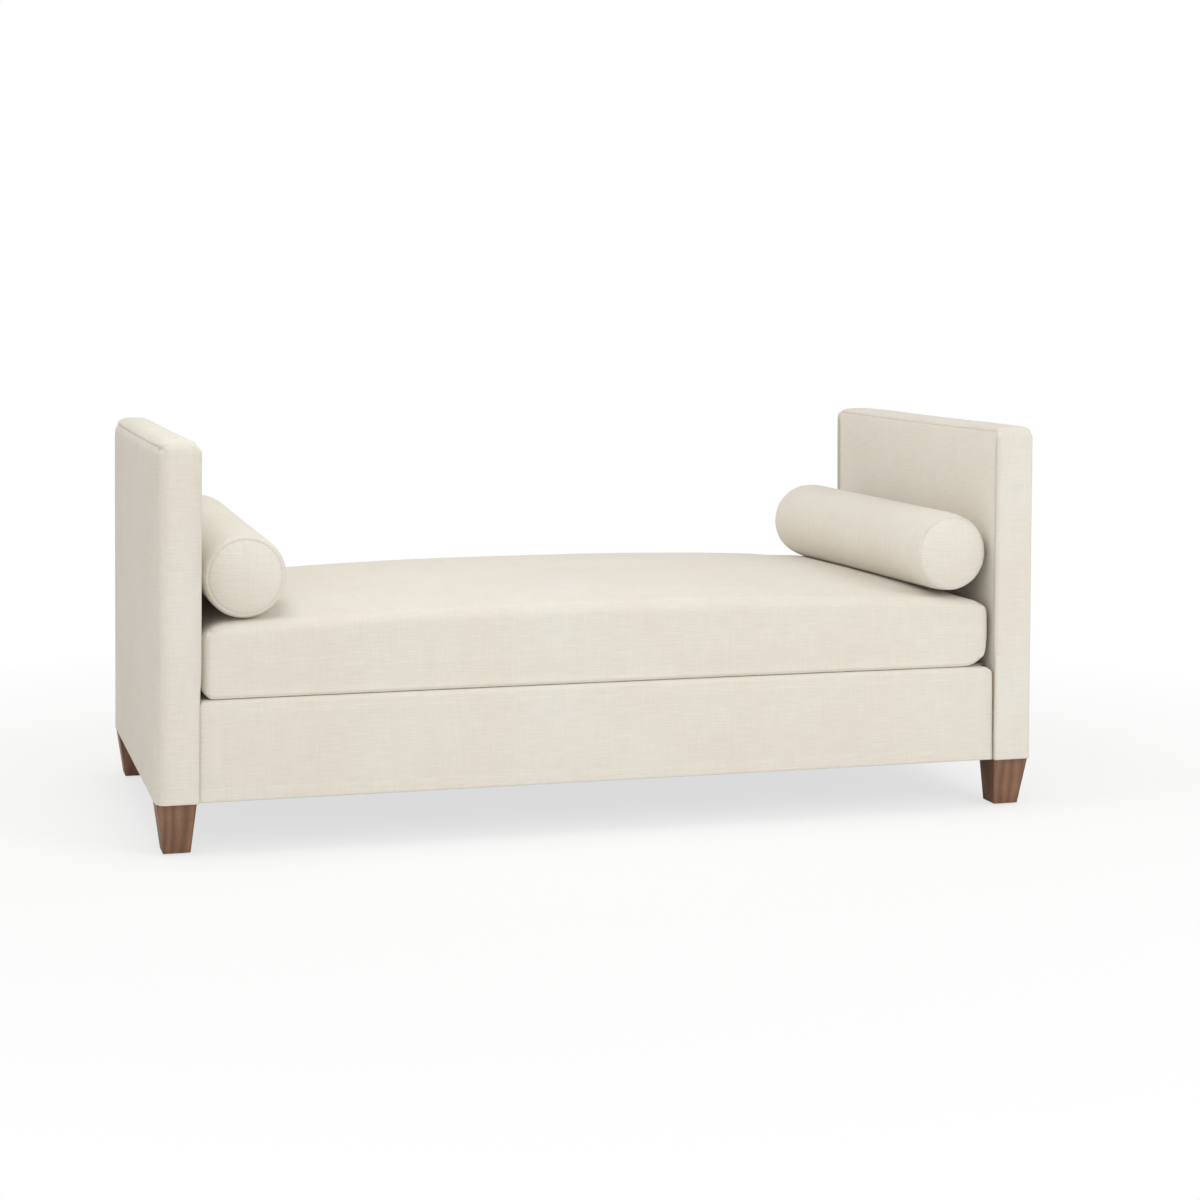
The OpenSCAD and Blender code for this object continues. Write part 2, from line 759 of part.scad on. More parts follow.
function corner_centre(q, w, d, r) = [(q % 4 == 0 || q % 4 == 3 ? 1 : -1) * (w - r), (q % 4 < 2 ? 1 : -1) * (d - r)];
function corner_point(q, share, w, d, r) =
    corner_centre(q, w, d, r) + r * [cos(90 * (q + share)), sin(90 * (q + share))];

// Points round a rounded rectangle of half sizes w and d, anticlockwise
function plan_points(w, d, r) = [
    for (q = [0 : 3])
        let (
            count = q % 2 == 0 ? long_side_points : short_side_points,
            from = corner_point(q, 1, w, d, r),
            to = corner_point(q + 1, 0, w, d, r)
        )
        each concat(
            [for (k = [0 : corner_steps]) corner_point(q, k / corner_steps, w, d, r)],
            [for (k = [1 : count]) from + (to - from) * k / (count + 1)]
        )
];

// The seams pull the sides in between the corners
function drawn_in(p) = [
    p.x - cushion_draw_end * pow(p.x / cushion_half_w, draw_power) * (1 - pow(p.y / cushion_half_d, 2)),
    p.y - cushion_draw_side * pow(p.y / cushion_half_d, draw_power) * (1 - pow(p.x / cushion_half_w, 2))
];

// Height of the cushion's top over a point of its plan
function crown_z(x, y) =
    let (
        along = 1 - pow(min(1, abs(x) / cushion_half_w), crown_along_power),
        across = 1 - pow(min(1, abs(y) / cushion_half_d), crown_across_power)
    )
    cushion_z + cushion_edge_h + crown_along * along + crown_across * pow(along, crown_end_power) * across;

// Each ring of the boxing: inset in plan, height over the bottom, depth under the top, share of the top
function boxing_rings(bottom_r, top_r) = [
    [bottom_r, 0, 0, 0],
    [bottom_r * round_share, bottom_r * round_share, 0, 0],
    [0, bottom_r, 0, 0],
    [-cushion_bulge, bottom_r, top_r, 1 / 2],
    [0, 0, top_r, 1],
    [top_r * round_share, 0, top_r * round_share, 1],
    [top_r, 0, 0, 1]
];

function cushion_ring(ring, inset) =
    let (w = cushion_half_w - inset - ring[0], d = cushion_half_d - inset - ring[0])
    [
        for (p = plan_points(w, d, cushion_corner_r - inset - ring[0]))
            let (
                q = drawn_in(p),
                low = cushion_z + inset + ring[1],
                high = crown_z(q.x, q.y) - inset - ring[2]
            )
            [q.x, q.y, low + (high - low) * ring[3]]
    ];

// A ring of the crowned top, a share of the way out to its edge ring
function top_ring(edge, share, inset) =
    [for (p = edge) [p.x * share, p.y * share, crown_z(p.x * share, p.y * share) - inset]];

function cushion_rings(inset) =
    let (
        boxing = [for (ring = boxing_rings(cushion_bottom_r - inset, cushion_top_r - inset)) cushion_ring(ring, inset)],
        edge = boxing[len(boxing) - 1]
    )
    concat(boxing, [for (share = top_ring_shares) top_ring(edge, share, inset)]);

// A closed solid through the rings, from a flat bottom up to a middle point on the crown
module cushion_form(inset) {
    rings = cushion_rings(inset);
    n = len(rings[0]);
    last = len(rings) - 1;
    low_point = [0, 0, cushion_z + inset];
    high_point = [0, 0, crown_z(0, 0) - inset];
    points = concat([for (ring = rings) each ring], [low_point, high_point]);
    walls = [
        for (k = [0 : last - 1], i = [0 : n - 1])
            let (j = (i + 1) % n)
            each [
                [k * n + i, (k + 1) * n + i, (k + 1) * n + j],
                [k * n + i, (k + 1) * n + j, k * n + j]
            ]
    ];
    bottom = [for (i = [0 : n - 1]) [n * (last + 1), i, (i + 1) % n]];
    top = [for (i = [0 : n - 1]) [n * (last + 1) + 1, last * n + (i + 1) % n, last * n + i]];
    polyhedron(points, concat(walls, bottom, top));
}

// Depth of the boxing's face at half its height
function boxing_y(x) = drawn_in([x, cushion_half_d + cushion_bulge]).y;

// The zip stands just clear of the core, in a slot of the rear boxing
zip_y = boxing_y(zip_l / 2) - core_inset + soft_gap;

module seat_cushion_cover() {
    color("ivory") difference() {
        cushion_form(0);
        cushion_form(cover_t);
        box(
            [-zip_l / 2, cushion_half_d - cushion_bottom_r, cushion_mid_z - zip_w / 2],
            [zip_l / 2, cushion_half_d + cushion_bottom_r, cushion_mid_z + zip_w / 2]
        );
    }
}

module seat_cushion_core() {
    color("lightyellow") cushion_form(core_inset);
}

module seat_cushion_zip() {
    color("gainsboro") box(
        [soft_gap - zip_l / 2, zip_y, cushion_mid_z - zip_w / 2 + soft_gap],
        [zip_l / 2 - soft_gap, zip_y + zip_t, cushion_mid_z + zip_w / 2 - soft_gap]
    );
}

// Bolsters

function bolster_gap(side) = side == left ? left_bolster_gap : right_bolster_gap;
function bolster_turn(side) = side == left ? left_bolster_turn : right_bolster_turn;
function bolster_tilt(side) = side == left ? left_bolster_tilt : right_bolster_tilt;
function bolster_forward(side) = side == left ? left_bolster_forward : right_bolster_forward;
function bolster_x(side) = side * (arm_face_x - bolster_gap(side) - bolster_r);

// The lowest height at which the bolster's axis clears the crowned cushion under it, at its middle
function bolster_z(side) = soft_gap + max([
    for (i = [-bolster_samples : bolster_samples], j = [-bolster_samples / 2 : bolster_samples / 2])
        let (
            along = bolster_l / 2 * i / bolster_samples,
            aside = bolster_r * j / bolster_samples,
            x = bolster_x(side) - along * sin(bolster_turn(side)) + aside
        )
        crown_z(x, along - bolster_forward(side)) + sqrt(pow(bolster_r, 2) - pow(aside, 2))
            - along * tan(bolster_tilt(side))
]);

// Children drawn round Z are laid along the depth, at a bolster's place
module lay_bolster(side) {
    translate([bolster_x(side), -bolster_forward(side), bolster_z(side)])
        rotate([bolster_tilt(side), 0, bolster_turn(side)]) rotate([-90, 0, 0]) children();
}

// Half of the bolster's section, drawn in by the inset
module bolster_section(inset) {
    r = bolster_edge_r - inset;
    half = bolster_l / 2 - inset;
    soft_rectangle([0, -half], [bolster_r - inset, half], [0, r, r, 0]);
}

module bolster_cover(side) {
    color("ivory") lay_bolster(side) rotate_extrude() difference() {
        bolster_section(0);
        bolster_section(cover_t);
        translate([0, -bolster_l]) square([bolster_rim_r, 2 * bolster_l]);
    }
}

// The domed disc that closes an end, in the rim of the cover
module bolster_end_cap() {
    rim = bolster_rim_r - soft_gap;
    translate([0, 0, bolster_l / 2]) rotate_extrude() intersection() {
        translate([0, bolster_dome_h - dome_r]) difference() {
            circle(dome_r, $fn = arch_facets);
            circle(dome_r - cover_t, $fn = arch_facets);
        }
        translate([0, -cover_t]) square([rim, bolster_dome_h + 2 * cover_t]);
    }
}

module bolster_end_caps(side) {
    color("ivory") lay_bolster(side) for (end = [0, 1]) mirror([0, 0, end]) bolster_end_cap();
}

// One end of the core's outline, from its side over the rolled edge to the top of the dome
function core_end_outline() =
    let (
        side_r = bolster_r - core_inset,
        half = bolster_l / 2 - core_inset,
        edge_r = bolster_edge_r - core_inset,
        rim_angle = asin(bolster_rim_r / dome_r)
    )
    concat(
        [
            for (k = [0 : outline_steps])
                let (a = 90 * k / outline_steps)
                [side_r - edge_r + edge_r * cos(a), half - edge_r + edge_r * sin(a)]
        ],
        [
            for (k = [outline_steps - 1 : -1 : 0])
                let (a = rim_angle * k / outline_steps)
                [dome_r * sin(a), half + bolster_dome_h - dome_r + dome_r * cos(a)]
        ]
    );

module bolster_core(side) {
    upper = core_end_outline();
    lower = [for (k = [len(upper) - 1 : -1 : 0]) [upper[k].x, -upper[k].y]];
    color("lightyellow") lay_bolster(side) rotate_extrude() polygon(concat(lower, upper));
}

leg(left, front);  // front_left_leg
leg(right, front);  // front_right_leg
leg(left, rear);  // rear_left_leg
leg(right, rear);  // rear_right_leg
foot_glides();
leg_bolts();
leg_inserts();
arm_bottom_rail(left);  // left_arm_bottom_rail
arm_bottom_rail(right);  // right_arm_bottom_rail
arm_post(left, front);  // left_arm_front_post
arm_post(right, front);  // right_arm_front_post
arm_post(left, rear);  // left_arm_rear_post
arm_post(right, rear);  // right_arm_rear_post
arm_middle_rail(left);  // left_arm_middle_rail
arm_middle_rail(right);  // right_arm_middle_rail
arm_top_rail(left);  // left_arm_top_rail
arm_top_rail(right);  // right_arm_top_rail
arm_mounting_board(left);  // left_arm_mounting_board
arm_mounting_board(right);  // right_arm_mounting_board
arm_outer_panel(left);  // left_arm_outer_panel
arm_outer_panel(right);  // right_arm_outer_panel
arm_inner_panel(left);  // left_arm_inner_panel
arm_inner_panel(right);  // right_arm_inner_panel
arm_padding(left);  // left_arm_padding
arm_padding(right);  // right_arm_padding
arm_cover(left);  // left_arm_cover
arm_cover(right);  // right_arm_cover
frame_dowels();
seat_rail(front);  // front_seat_rail
seat_rail(rear);  // rear_seat_rail
end_rail(left);  // left_end_rail
end_rail(right);  // right_end_rail
cross_rails();
spring_ledger(front);  // front_spring_ledger
spring_ledger(rear);  // rear_spring_ledger
corner_blocks();
corner_block_screws();
frame_bolts();
frame_bolt_inserts();
sinuous_springs();
spring_clips();
stay_wires();
spring_insulator();
deck_padding();
deck_cover();
dust_cover();
rail_padding(front);  // front_rail_padding
rail_padding(rear);  // rear_rail_padding
rail_cover(front);  // front_rail_cover
rail_cover(rear);  // rear_rail_cover
seat_cushion_cover();
seat_cushion_core();
seat_cushion_zip();
bolster_cover(left);  // left_bolster_cover
bolster_cover(right);  // right_bolster_cover
bolster_core(left);  // left_bolster_core
bolster_core(right);  // right_bolster_core
bolster_end_caps(left);  // left_bolster_end_caps
bolster_end_caps(right);  // right_bolster_end_caps
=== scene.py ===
"""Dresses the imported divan: linen arms and seat rails, a loose crowned cushion, two bolsters, the deck
under the cushion, the dust cover under the seat and four walnut legs, on a pale studio floor.

All lengths are in metres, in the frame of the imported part: +X runs along the width, -Y is the front
and +Z is up.
"""

import json
import logging
import math
from dataclasses import dataclass
from enum import Enum
from typing import Any, Sequence

import bmesh
import bpy
import numpy as np
from mathutils import Euler, Matrix, Vector

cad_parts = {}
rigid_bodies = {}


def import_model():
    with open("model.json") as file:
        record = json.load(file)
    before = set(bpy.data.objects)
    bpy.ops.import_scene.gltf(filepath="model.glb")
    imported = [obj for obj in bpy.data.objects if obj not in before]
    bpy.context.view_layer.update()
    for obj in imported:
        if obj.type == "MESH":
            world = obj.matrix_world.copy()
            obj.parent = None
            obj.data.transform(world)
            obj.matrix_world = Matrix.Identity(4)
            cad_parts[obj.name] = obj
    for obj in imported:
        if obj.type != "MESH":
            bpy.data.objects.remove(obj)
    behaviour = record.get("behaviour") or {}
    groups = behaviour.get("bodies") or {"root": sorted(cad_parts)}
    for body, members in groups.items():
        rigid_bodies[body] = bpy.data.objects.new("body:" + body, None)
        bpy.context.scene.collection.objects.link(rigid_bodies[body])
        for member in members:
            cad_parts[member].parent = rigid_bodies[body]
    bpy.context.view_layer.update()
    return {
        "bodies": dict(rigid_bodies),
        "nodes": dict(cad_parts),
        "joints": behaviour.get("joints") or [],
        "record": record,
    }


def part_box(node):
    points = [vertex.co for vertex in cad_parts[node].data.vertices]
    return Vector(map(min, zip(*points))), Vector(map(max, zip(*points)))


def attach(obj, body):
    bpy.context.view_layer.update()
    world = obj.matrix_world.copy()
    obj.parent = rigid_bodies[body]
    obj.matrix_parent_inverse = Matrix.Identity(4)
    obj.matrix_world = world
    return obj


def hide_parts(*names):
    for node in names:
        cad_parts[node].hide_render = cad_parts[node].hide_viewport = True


log = logging.getLogger("divan")

MM = 0.001
TINY = 1e-9
CLOSE = 0.001 * MM
FAR = 10.0
SHARP_DEGREES = 40
CLOTH_UV = "cloth"
# The point attribute that holds painted shade along sewn lines: it darkens the cloth's colour where a seam's groove
# would lie in shade.
SEAM_SHADE_ATTRIBUTE = "seam"


class Side(Enum):
    """The two ends of the divan, by the sign of X."""

    LEFT = -1
    RIGHT = 1


class End(Enum):
    """The front and the rear, by the sign of Y."""

    FRONT = -1
    REAR = 1


class Axis(Enum):
    """The three axes of the part's frame."""

    X = 0
    Y = 1
    Z = 2


# Mesh work


def clear_selection() -> None:
    """Leaves nothing selected, in object mode."""
    if bpy.context.object and bpy.context.object.mode != "OBJECT":
        bpy.ops.object.mode_set(mode="OBJECT")
    bpy.ops.object.select_all(action="DESELECT")


def pick(piece: bpy.types.Object) -> None:
    """Makes a piece the only selected and the active one.

    Args:
        piece: The object that the next operators act on.
    """
    clear_selection()
    piece.select_set(True)
    bpy.context.view_layer.objects.active = piece


def named(name: str) -> bpy.types.Object:
    """Names the object that an operator has just added.

    Args:
        name: The name for the object and its mesh.

    Returns:
        The object.
    """
    piece = bpy.context.object
    piece.name = name
    piece.data.name = name
    return piece


def settle(piece: bpy.types.Object) -> bpy.types.Object:
    """Puts a piece's place, turn and size into its mesh, so that the object sits at the origin.

    Args:
        piece: The object to settle.

    Returns:
        The same object.
    """
    pick(piece)
    bpy.ops.object.transform_apply(location=True, rotation=True, scale=True)
    return piece


def join_pieces(pieces: Sequence[bpy.types.Object]) -> bpy.types.Object:
    """Joins pieces into the first of them.

    Args:
        pieces: The pieces, the one that stays first.

    Returns:
        The joined piece.
    """
    clear_selection()
    for piece in pieces:
        piece.select_set(True)
    bpy.context.view_layer.objects.active = pieces[0]
    bpy.ops.object.join()
    return pieces[0]


def finish_with(piece: bpy.types.Object, kind: str, **settings: Any) -> None:
    """Adds a modifier to a piece, sets it up and applies it.

    Args:
        piece: The object to change.
        kind: The type of modifier.
        **settings: Values of the modifier's own properties.
    """
    pick(piece)
    bpy.ops.object.modifier_add(type=kind)
    modifier = piece.modifiers[-1]
    for key, value in settings.items():
        setattr(modifier, key, value)
    bpy.ops.object.modifier_apply(modifier=modifier.name)


def smooth(piece: bpy.types.Object, angle: float | None = None) -> None:
    """Shades a piece smooth, all over or only across edges flatter than an angle.

    Args:
        piece: The object to shade.
        angle: The largest smooth angle in degrees, or None for all edges.
    """
    pick(piece)
    if angle is None:
        bpy.ops.object.shade_smooth()
    else:
        bpy.ops.object.shade_smooth_by_angle(angle=math.radians(angle))


def points_of(piece: bpy.types.Object) -> np.ndarray:
    """Returns a piece's points as rows of x, y and z."""
    points = np.empty(len(piece.data.vertices) * 3)
    piece.data.vertices.foreach_get("co", points)
    return points.reshape(-1, 3)


def normals_of(piece: bpy.types.Object) -> np.ndarray:
    """Returns the normal at each of a piece's points."""
    normals = np.empty(len(piece.data.vertices) * 3)
    piece.data.vertices.foreach_get("normal", normals)
    return normals.reshape(-1, 3)


def place_points(piece: bpy.types.Object, points: np.ndarray) -> None:
    """Moves a piece's points.

    Args:
        piece: The object to change.
        points: Rows of x, y and z, one for each point.
    """
    piece.data.vertices.foreach_set("co", points.ravel())
    piece.data.update()


def move_to_lines(points: np.ndarray, axis: int, places: Sequence[float], start: float) -> None:
    """Moves the even rows of a mesh that is one unit long onto given lines.

    Args:
        points: The mesh's points, which are changed.
        axis: The axis to move them along.
        places: The places of the lines, one for each row.
        start: Where the first row lies.
    """
    row = np.rint((points[:, axis] - start) * (len(places) - 1)).astype(int)
    points[:, axis] = np.array(places)[row]


def push(piece: bpy.types.Object, amount: np.ndarray) -> None:
    """Moves each point of a piece out along its normal.

    Args:
        piece: The object to change.
        amount: How far each point goes, inwards where negative.
    """
    place_points(piece, points_of(piece) + normals_of(piece) * amount[:, None])


def spread(low: float, high: float, near: Sequence[float], step: float, extra: Sequence[float] = ()) -> list[float]:
    """Works out grid lines that crowd towards both ends.

    Args:
        low: Where the lines start.
        high: Where they end.
        near: Distances of the lines near each end, from 0 up.
        step: About how far apart the lines between them lie.
        extra: More lines, each of which takes the place of the lines too close to it.

    Returns:
        The places of the lines, in order.
    """
    start, stop = low + near[-1], high - near[-1]
    count = max(1, round((stop - start) / step))
    between = [start + (stop - start) * k / count for k in range(1, count)]
    clear = min(step, near[-1]) / 3
    between = [p for p in between if all(abs(p - e) > clear for e in extra)]
    return sorted([low + d for d in near] + between + list(extra) + [high - d for d in near])


def spread_over(
    low: Sequence[float], high: Sequence[float], near: Sequence[Sequence[float]], step: float
) -> list[list[float]]:
    """Works out grid lines for each axis of a box, from X on.

    Args:
        low: The box's lowest corner.
        high: The box's highest corner.
        near: For each axis, distances of the lines near each end, from 0 up.
        step: About how far apart the lines between them lie.

    Returns:
        The places of the lines, in order, for each axis.
    """
    return [spread(low[k], high[k], distances, step) for k, distances in enumerate(near)]


def grid_block(name: str, lines: Sequence[Sequence[float]]) -> bpy.types.Object:
    """Adds a box whose faces are cut into quads along given lines.

    Args:
        name: The object's name.
        lines: For X, Y and Z, the places of the grid lines from one face to the other.

    Returns:
        The object, with its points at the crossings of the lines.
    """
    clear_selection()
    bpy.ops.mesh.primitive_cube_add(size=1, calc_uvs=False, location=(0.5, 0.5, 0.5))
    block = settle(named(name))
    bpy.ops.object.mode_set(mode="EDIT")
    bpy.ops.mesh.select_mode(type="EDGE")
    for axis, places in enumerate(lines):
        bpy.ops.mesh.select_all(action="DESELECT")
        mesh = bmesh.from_edit_mesh(block.data)
        for edge in mesh.edges:
            run = edge.verts[1].co - edge.verts[0].co
            edge.select_set(abs(run[axis]) > max(abs(run[(axis + 1) % 3]), abs(run[(axis + 2) % 3])))
        bmesh.update_edit_mesh(block.data)
        bpy.ops.mesh.subdivide(number_cuts=len(places) - 2)
    bpy.ops.object.mode_set(mode="OBJECT")
    points = points_of(block)
    for axis, places in enumerate(lines):
        move_to_lines(points, axis, places, 0)
    place_points(block, points)
    return block


def eased_block(
    name: str, size: Sequence[float], middle: Sequence[float], eased: float, segments: int = 2
) -> bpy.types.Object:
    """Adds a small block with eased edges.

    Args:
        name: The object's name.
        size: Its size along X, Y and Z.
        middle: Its middle.
        eased: The width of its bevels.
        segments: The number of faces across a bevel.

    Returns:
        The block.
    """
    clear_selection()
    bpy.ops.mesh.primitive_cube_add(size=1, calc_uvs=False, location=middle)
    piece = named(name)
    piece.scale = size
    settle(piece)
    finish_with(piece, "BEVEL", width=eased, segments=segments)
    return piece


def round_corner(
    points: np.ndarray, axes: tuple[Axis, Axis], corner: tuple[float, float], inward: tuple[int, int], radius: float
) -> None:
    """Rounds one long edge of a block, square to two axes, keeping its grid.

    Args:
        points: The block's points, which are changed.
        axes: The two axes that the edge is square to.
        corner: The edge's place along those axes.
        inward: The signs that lead from the edge into the block.
        radius: The radius of the rounding.
    """
    a, b = axes[0].value, axes[1].value
    centre = (corner[0] + inward[0] * radius, corner[1] + inward[1] * radius)
    out_a = (centre[0] - points[:, a]) * inward[0]
    out_b = (centre[1] - points[:, b]) * inward[1]
    inside = (out_a > 0) & (out_b > 0)
    share = np.maximum(out_a, out_b)[inside] / np.hypot(out_a, out_b)[inside]
    points[inside, a] = centre[0] - inward[0] * out_a[inside] * share
    points[inside, b] = centre[1] - inward[1] * out_b[inside] * share


def blend(start: Any, end: Any, share: np.ndarray) -> np.ndarray:
    """Goes from one value to another by a share, from 0 to 1, at each point."""
    return start + (end - start) * share


def waves(points: np.ndarray, pitch: float, seed: int, count: int = 5) -> np.ndarray:
    """Sums a few long waves in chosen directions, for the unevenness of hand-pulled cloth.

    Args:
        points: Where the sum is wanted.
        pitch: The length of the middle wave.
        seed: Picks the directions, lengths and phases.
        count: The number of waves.

    Returns:
        A value from about -1 to 1 for each point.
    """
    draw = np.random.default_rng(seed)
    total = np.zeros(len(points))
    for _ in range(count):
        way = draw.normal(size=3)
        way /= np.linalg.norm(way)
        length = pitch * draw.uniform(0.6, 1.7)
        total += np.sin(2 * math.pi * points @ way / length + draw.uniform(0, 2 * math.pi))
    return total / count


@dataclass(frozen=True)
class Unevenness:
    """The long soft waves of hand-pulled cloth, which sink further than they rise."""

    depth: float
    pitch: float
    seed: int
    sink: float = 1.0

    def pull(self, points: np.ndarray, turn: int = 0) -> np.ndarray:
        """Works out how far the waves move the cloth.

        Args:
            points: Where the cloth lies.
            turn: Added to the seed, so that pieces of one kind differ.

        Returns:
            The move at each point, inwards where negative. With a sink of 1 none goes outwards.
        """
        return self.depth * (waves(points, self.pitch, self.seed + turn) - self.sink) / (1 + self.sink)


@dataclass(frozen=True)
class Seam:
    """A sewn line: the valley that it pulls into the cloth, and how dark the painted shade along it looks."""

    depth: float
    width: float
    # The strength of the painted shade that darkens the cloth along the line.
    mark: float = 1.0

    def pull(self, distance: np.ndarray) -> np.ndarray:
        """Works out how far the line pulls the cloth in, as a negative length, at distances across it."""
        return -self.depth * np.exp(-np.square(distance / self.width))


def paint_seam_shade(
    piece: bpy.types.Object, distance: np.ndarray, width: float | np.ndarray, strength: float | np.ndarray
) -> None:
    """Stores how near each point is to a sewn line, as painted shade for the cloth's material, which darkens the
    colour where the seam's groove would lie in shade.

    Args:
        piece: The object that is sewn.
        distance: Each point's distance from the line.
        width: The half width of the painted shade.
        strength: How dark the painted shade is on the line.
    """
    mark = piece.data.attributes.new(SEAM_SHADE_ATTRIBUTE, "FLOAT", "POINT")
    near = strength * np.exp(-np.square(distance / width))
    mark.data.foreach_set("value", near.astype(np.float32))


@dataclass(frozen=True)
class Puckers:
    """The small gathers that the thread pulls into the cloth beside a sewn line."""

    depth: float
    reach: float
    lengths: tuple[float, ...]
    shares: tuple[float, ...]
    phases: tuple[float, ...] = (0, 1, 2)
    start: float = 3 * MM

    def pull(self, across: np.ndarray, run: np.ndarray) -> np.ndarray:
        """Works out how far the gathers draw the cloth in.

        Args:
            across: Distances across the line.
            run: Places along the line.

        Returns:
            The pull at each place, as a negative length or close to none.
        """
        ripple = sum(
            share * np.sin(run / length + phase)
            for share, length, phase in zip(self.shares, self.lengths, self.phases)
        )
        away = np.abs(across)
        beside = np.exp(-away / self.reach) * (1 - np.exp(-away / self.start))
        return self.depth * beside * (ripple - 1) / 2


def lay_cloth_uv(piece: bpy.types.Object, block: np.ndarray, sides_hang: bool) -> None:
    """Gives each face its place on the flat cloth, in metres, from the block that the piece was shaped from.

    Args:
        piece: The object, with as many points as the block.
        block: The block's points before they were rounded.
        sides_hang: True if the cloth of the ends hangs on from the top, False if it is a panel of its own.
    """
    mesh = piece.data
    corners = np.empty(len(mesh.loops), int)
    mesh.loops.foreach_get("vertex_index", corners)
    faces = corners.reshape(-1, 4)
    box = block[faces]
    flat_axis = np.repeat(np.argmin(np.ptp(box, axis=1), axis=1), 4)
    x, y, z = block[corners].T
    high = block.max(axis=0)
    drop = high[2] - z
    mid = box.mean(axis=1).repeat(4, axis=0)
    out_x = np.sign(mid[:, 0] - block[:, 0].mean())
    out_y = np.sign(mid[:, 1] - block[:, 1].mean())
    u = x.copy()
    v = y.copy()
    front = flat_axis == Axis.Y.value
    v[front] = (y + out_y * drop)[front]
    end = flat_axis == Axis.X.value
    if sides_hang:
        u[end] = (x + out_x * drop)[end]
    else:
        u[end] = y[end]
        v[end] = z[end]
    layer = mesh.uv_layers.new(name=CLOTH_UV)
    layer.data.foreach_set("uv", np.stack([u, v], axis=1).ravel())


@dataclass(frozen=True)
class Filling:
    """How a soft piece swells against its cloth, and the most that a point may move."""

    most: float
    pressure: float = 4.0
    stretch: float = 15.0
    bend: float = 0.5
    weight: float = 0.3
    quality: int = 6
    frames: int = 20


def swell(piece: bpy.types.Object, held: np.ndarray, free: np.ndarray, filling: Filling) -> None:
    """Lets a piece's cloth swell under the pressure of its filling, then caps how far each point went.

    Args:
        piece: The closed mesh.
        held: True for each point that its seams or its seat hold still.
        free: The share of its movement that each point keeps.
        filling: The pressure, the cloth's stiffness and the cap.
    """
    before = points_of(piece)
    group = piece.vertex_groups.new(name="held")
    group.add(np.flatnonzero(held).tolist(), 1.0, "REPLACE")
    pick(piece)
    bpy.ops.object.modifier_add(type="CLOTH")
    cloth = piece.modifiers[-1]
    settings = cloth.settings
    settings.quality = filling.quality
    settings.mass = filling.weight
    settings.tension_stiffness = filling.stretch
    settings.compression_stiffness = filling.stretch
    settings.shear_stiffness = filling.stretch / 3
    settings.bending_stiffness = filling.bend
    settings.use_pressure = True
    settings.uniform_pressure_force = filling.pressure
    settings.vertex_group_mass = group.name
    settings.effector_weights.gravity = 0
    cloth.point_cache.frame_start = 1
    cloth.point_cache.frame_end = filling.frames
    scene = bpy.context.scene
    for frame in range(1, filling.frames + 1):
        scene.frame_set(frame)
    bpy.ops.object.modifier_apply(modifier=cloth.name)
    scene.frame_set(1)
    piece.vertex_groups.clear()
    moved = points_of(piece) - before
    far = np.linalg.norm(moved, axis=1)
    limit = filling.most * np.tanh(far / filling.most)
    moved *= (free * limit / np.maximum(far, TINY))[:, None]
    place_points(piece, before + moved)
    log.info("%s swelled by %.1f mm at most", piece.name, limit.max() / MM)


def dress(piece: bpy.types.Object, body: str, slot: str, material: bpy.types.Material, *nodes: str) -> None:
    """Gives a finished piece its material and its place on the part.

    Args:
        piece: The finished object.
        body: The body of the part that it rides on.
        slot: The record's material slot; not used.
        material: The piece's material.
        *nodes: The nodes of the part that it stands for.
    """
    if not piece.data.materials:
        piece.data.materials.append(material)
    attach(piece, body)
    if nodes:
        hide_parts(*nodes)
    log.info("%s rides on %s with %d faces", piece.name, body, len(piece.data.polygons))


def upholster(piece: bpy.types.Object, body: str, linen: bpy.types.Material, fill: float, *nodes: str) -> None:
    """Rounds off a padded piece in linen and dresses it.

    Args:
        piece: The shaped and sewn piece.
        body: The body of the part that it rides on.
        linen: The cover's material.
        fill: The share of its hull that the padding fills; not used.
        *nodes: The nodes of the part that it stands for.
    """
    finish_with(piece, "SUBSURF", levels=1, render_levels=1, uv_smooth="NONE")
    smooth(piece)
    dress(piece, body, "linen", linen, *nodes)


# Materials


def tint(red: int, green: int, blue: int) -> tuple[float, float, float, float]:
    """Turns a display colour, with each part from 0 to 255, into the linear colour that shaders take."""
    parts = [value / 255 for value in (red, green, blue)]
    linear = [p / 12.92 if p <= 0.04045 else ((p + 0.055) / 1.055) ** 2.4 for p in parts]
    return (linear[0], linear[1], linear[2], 1.0)


